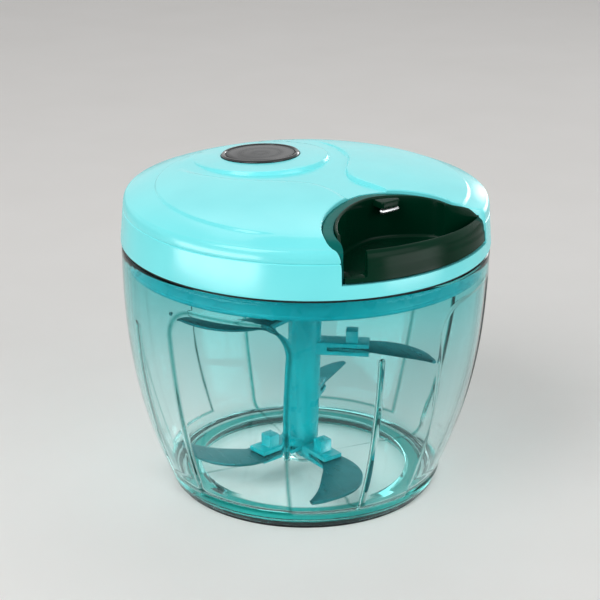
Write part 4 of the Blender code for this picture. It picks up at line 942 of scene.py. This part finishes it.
def tab():
    """Block at the cup's back wall, with rounded sides |x|^6.7 + |y|^6.7 = 1 and eased ends"""
    t = full_turn(48)
    circle = np.stack([np.cos(t), np.sin(t)], -1)
    sides = np.sign(circle) * np.abs(circle) ** 0.3
    centre, half = np.array([5.8, -36.4]) * MM, np.array([4.2, 3.1]) * MM
    rows = []
    for z, inset in (
        (113.3, 0.6), (113.4, 0.25), (113.7, 0.0), (115.4, 0.0), (115.8, 0.2), (116.0, 0.6)
    ):
        rows.append(level(centre + sides * (half - inset * MM), z * MM))
    return solid("tab", np.stack(rows))


def handle():
    """The cup with a round scoop for the thumb taken out of its left end, and the tab"""
    body = cup()
    corners = [
        (0, 100.9, 0), (6.3, 100.9, 1.2), (6.3, 109.2, 0.5), (8.0, 114, 0), (8.0, 121, 0),
        (0, 121, 0),
    ]
    scoop = turned("scoop", corners, 64)
    scoop.data.transform(Matrix.Translation((-29.3 * MM, -58.0 * MM, 0)))
    carve(body, scoop)
    made = joined("handle_green", [body, tab()])
    smooth(made.data, 30)
    place(made, "handle", DARK_GREEN_ABS, "dark_green_plastic", "handle")


def toggle():
    """Bar that the cord's end is tied to: a rod with domed ends, laid along X under the tab"""
    a = np.linspace(0, np.pi / 2, 7)
    ends = [(np.sin(a) * MM, (3.4 + np.cos(a)) * MM), (np.cos(a) * MM, -(3.4 + np.sin(a)) * MM)]
    made = solid("toggle_bar", spun(np.concatenate([np.stack(end, -1) for end in ends]), 32))
    stand = Matrix.Translation((5.8 * MM, -38.2 * MM, 112.25 * MM))
    made.data.transform(stand @ Matrix.Rotation(math.pi / 2, 4, "Y"))
    place(made, "handle", BRIGHT_STEEL, "stainless_steel", "cord_toggle")


handle()
toggle()

# ---------------------------------------------------------------- cord


def unit(rows):
    """Each row at length 1"""
    return rows / np.linalg.norm(rows, axis=1)[:, None]


def cord_line(count):
    """The lead's centre line: from the toggle down to the bay's back wall and straight through it,
    an eased bend down to the groove, straight to the winding and 25 degrees round it, as points an
    even way apart, with its length"""
    bend = np.array([CORD_X, -23.4 * MM, CORD_EXIT_Z])
    apart = math.hypot(CORD_X, bend[1])
    meet = math.atan2(CORD_X, -bend[1]) + math.acos(CORD_TURN_RADIUS / apart)
    round_reel = around(CORD_TURN_RADIUS, meet + CORD_WRAP * np.linspace(0, 1, 20), CORD_Z)
    run = (round_reel[0] - bend) / np.linalg.norm(round_reel[0] - bend)
    t = np.linspace(0, 1, 16)[:, None]
    before, after = bend - [0, 3 * MM, 0], bend + run * 3 * MM
    curve = (1 - t) ** 2 * before + 2 * t * (1 - t) * bend + t * t * after
    tied = np.array([[5.8, -37.9, 112.1], [5.5, -36.0, 111.6], [4.4, -31.5, 109.4]]) * MM
    line = np.concatenate([tied, [[CORD_X, -29.0 * MM, CORD_EXIT_Z]], curve, round_reel])
    way = np.concatenate([[0], np.cumsum(np.linalg.norm(np.diff(line, axis=0), axis=1))])
    even = np.linspace(0, way[-1], count)
    return np.stack([np.interp(even, way, line[:, k]) for k in range(3)], -1), way[-1]


def braid(line, length, radius, strands, pitch):
    """Tube along a line, its radius lowered between two sets of strands that wind opposite ways:
    r = radius (0.86 + 0.14 max(|sin(n a / 2 + w s)|, |sin(n a / 2 - w s)|))"""
    along = unit(np.gradient(line, axis=0))
    side = unit(np.cross(along, [0, 0, 1]))
    lift = np.cross(side, along)
    a = full_turn(32)
    s = np.linspace(0, length, len(line))[:, None] * np.pi / pitch
    weave = np.maximum(np.abs(np.sin(strands * a / 2 + s)), np.abs(np.sin(strands * a / 2 - s)))
    r = (radius * (0.86 + 0.14 * weave))[..., None]
    a = a[:, None]
    return line[:, None] + r * (side[:, None] * np.cos(a) + lift[:, None] * np.sin(a))


def pull_cord():
    """The lead as a braided tube 2 mm thick, from the lid to the handle"""
    line, length = cord_line(260)
    made = solid("cord_lead", braid(line, length, 1.0 * MM, 4, 3.2 * MM), sharp=60)
    made.data.materials.append(CORD_YARN)
    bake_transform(made)
    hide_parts("pull_cord")


def winding():
    """Turns of cord on the reel: a ring whose outside swells with the root of |sin| of a helix,
    2.2 mm a turn"""
    outside, inside, columns = 24, 4, 144
    heights = [np.linspace(105.1, 109.5, outside), np.linspace(109.5, 105.1, inside)]
    z = np.concatenate(heights)[:, None] * MM
    turns = full_turn(columns)
    helix = np.abs(np.sin(np.pi * (z[:outside] / (2.2 * MM)) + turns / 2))
    outer = 17.2 * MM + 1.0 * MM * np.sqrt(helix)
    grid = around(np.concatenate([outer, np.full((inside, columns), 16.8 * MM)]), turns, z)
    made = solid("cord_turns", grid, loop=True, sharp=60)
    place(made, "reel", CORD_YARN, "braided_cord", "cord_winding")


pull_cord()
winding()

# ---------------------------------------------------------------- reel, hub and spring

finished("reel", "reel", TEAL_PP, "teal_plastic", 0.25 * MM)
finished("pawl_ring", "reel", NYLON, "cream_nylon", 0.15 * MM)
finished("power_spring", "reel", BRIGHT_STEEL, "stainless_steel", 0.05 * MM)
finished("spring_cap", "reel", TEAL_PP, "teal_plastic", 0.2 * MM)
finished("drive_hub", "drive_hub", TEAL_PP, "teal_plastic", 0.2 * MM)

# ---------------------------------------------------------------- spindle and blades

finished("spindle", "blades", TEAL_PP, "teal_plastic", 0.35 * MM)

# Height, turn, arm length, reach, curl and belly, in mm and degrees
BLADES = {
    "blade_1": (51.2, 46, 24.0, 49.5, 14, 6.0),
    "blade_2": (68.0, 283, 24.0, 50.0, 38, 6.0),
    "blade_3": (29.5, 124, 16.0, 38.0, 8, 2.0),
    "blade_4": (13.0, 272, 23.0, 45.5, 34, 8.5),
    "blade_5": (10.3, -2, 18.0, 47.0, 34, 9.5),
}


def blade(name, height, turn, arm, reach, curl, belly):
    """Sickle of 1 mm steel. Its middle line leaves the column straight and curls back with the
    1.5th power, its width swells in the middle, and its inner edge is ground over 2.2 mm."""
    u = np.linspace(0, 1, 60)
    r = 8.8 * MM + (reach * MM - 8.8 * MM) * u
    bent = np.clip((r - arm * MM) / (reach * MM - arm * MM), 0, None)
    line = around(r, np.radians(turn) - np.radians(curl) * bent**1.5, 0)[:, :2]
    along = unit(np.gradient(line, axis=0))
    side = np.stack([along[:, 1], -along[:, 0]], -1)
    width = (6.6 - 4.8 * u**3 + belly * np.sin(np.pi * u**1.5)) * MM
    ground = ease((r - (arm - 3) * MM) / (5 * MM))
    grind = np.minimum(2.2 * MM, width * 0.4) * ground
    half, full, keen = width / 2, 0.5 * MM + 0 * u, 0.5 * MM - 0.42 * MM * ground
    bevel = 0.12 * MM
    offsets = [-half, -half, bevel - half, half - grind, half, half, half - grind, bevel - half]
    levels = [bevel - full, full - bevel, full, full, keen, -keen, -full, -full]
    plan = line[:, None] + side[:, None] * np.stack(offsets, 1)[..., None]
    grid = np.concatenate([plan, height * MM + np.stack(levels, 1)[..., None]], -1)
    made = solid(name + "_ground", grid, sharp=20)
    place(made, "blades", BLADE_STEEL, "stainless_steel", name)


for name, sizes in BLADES.items():
    blade(name, *sizes)
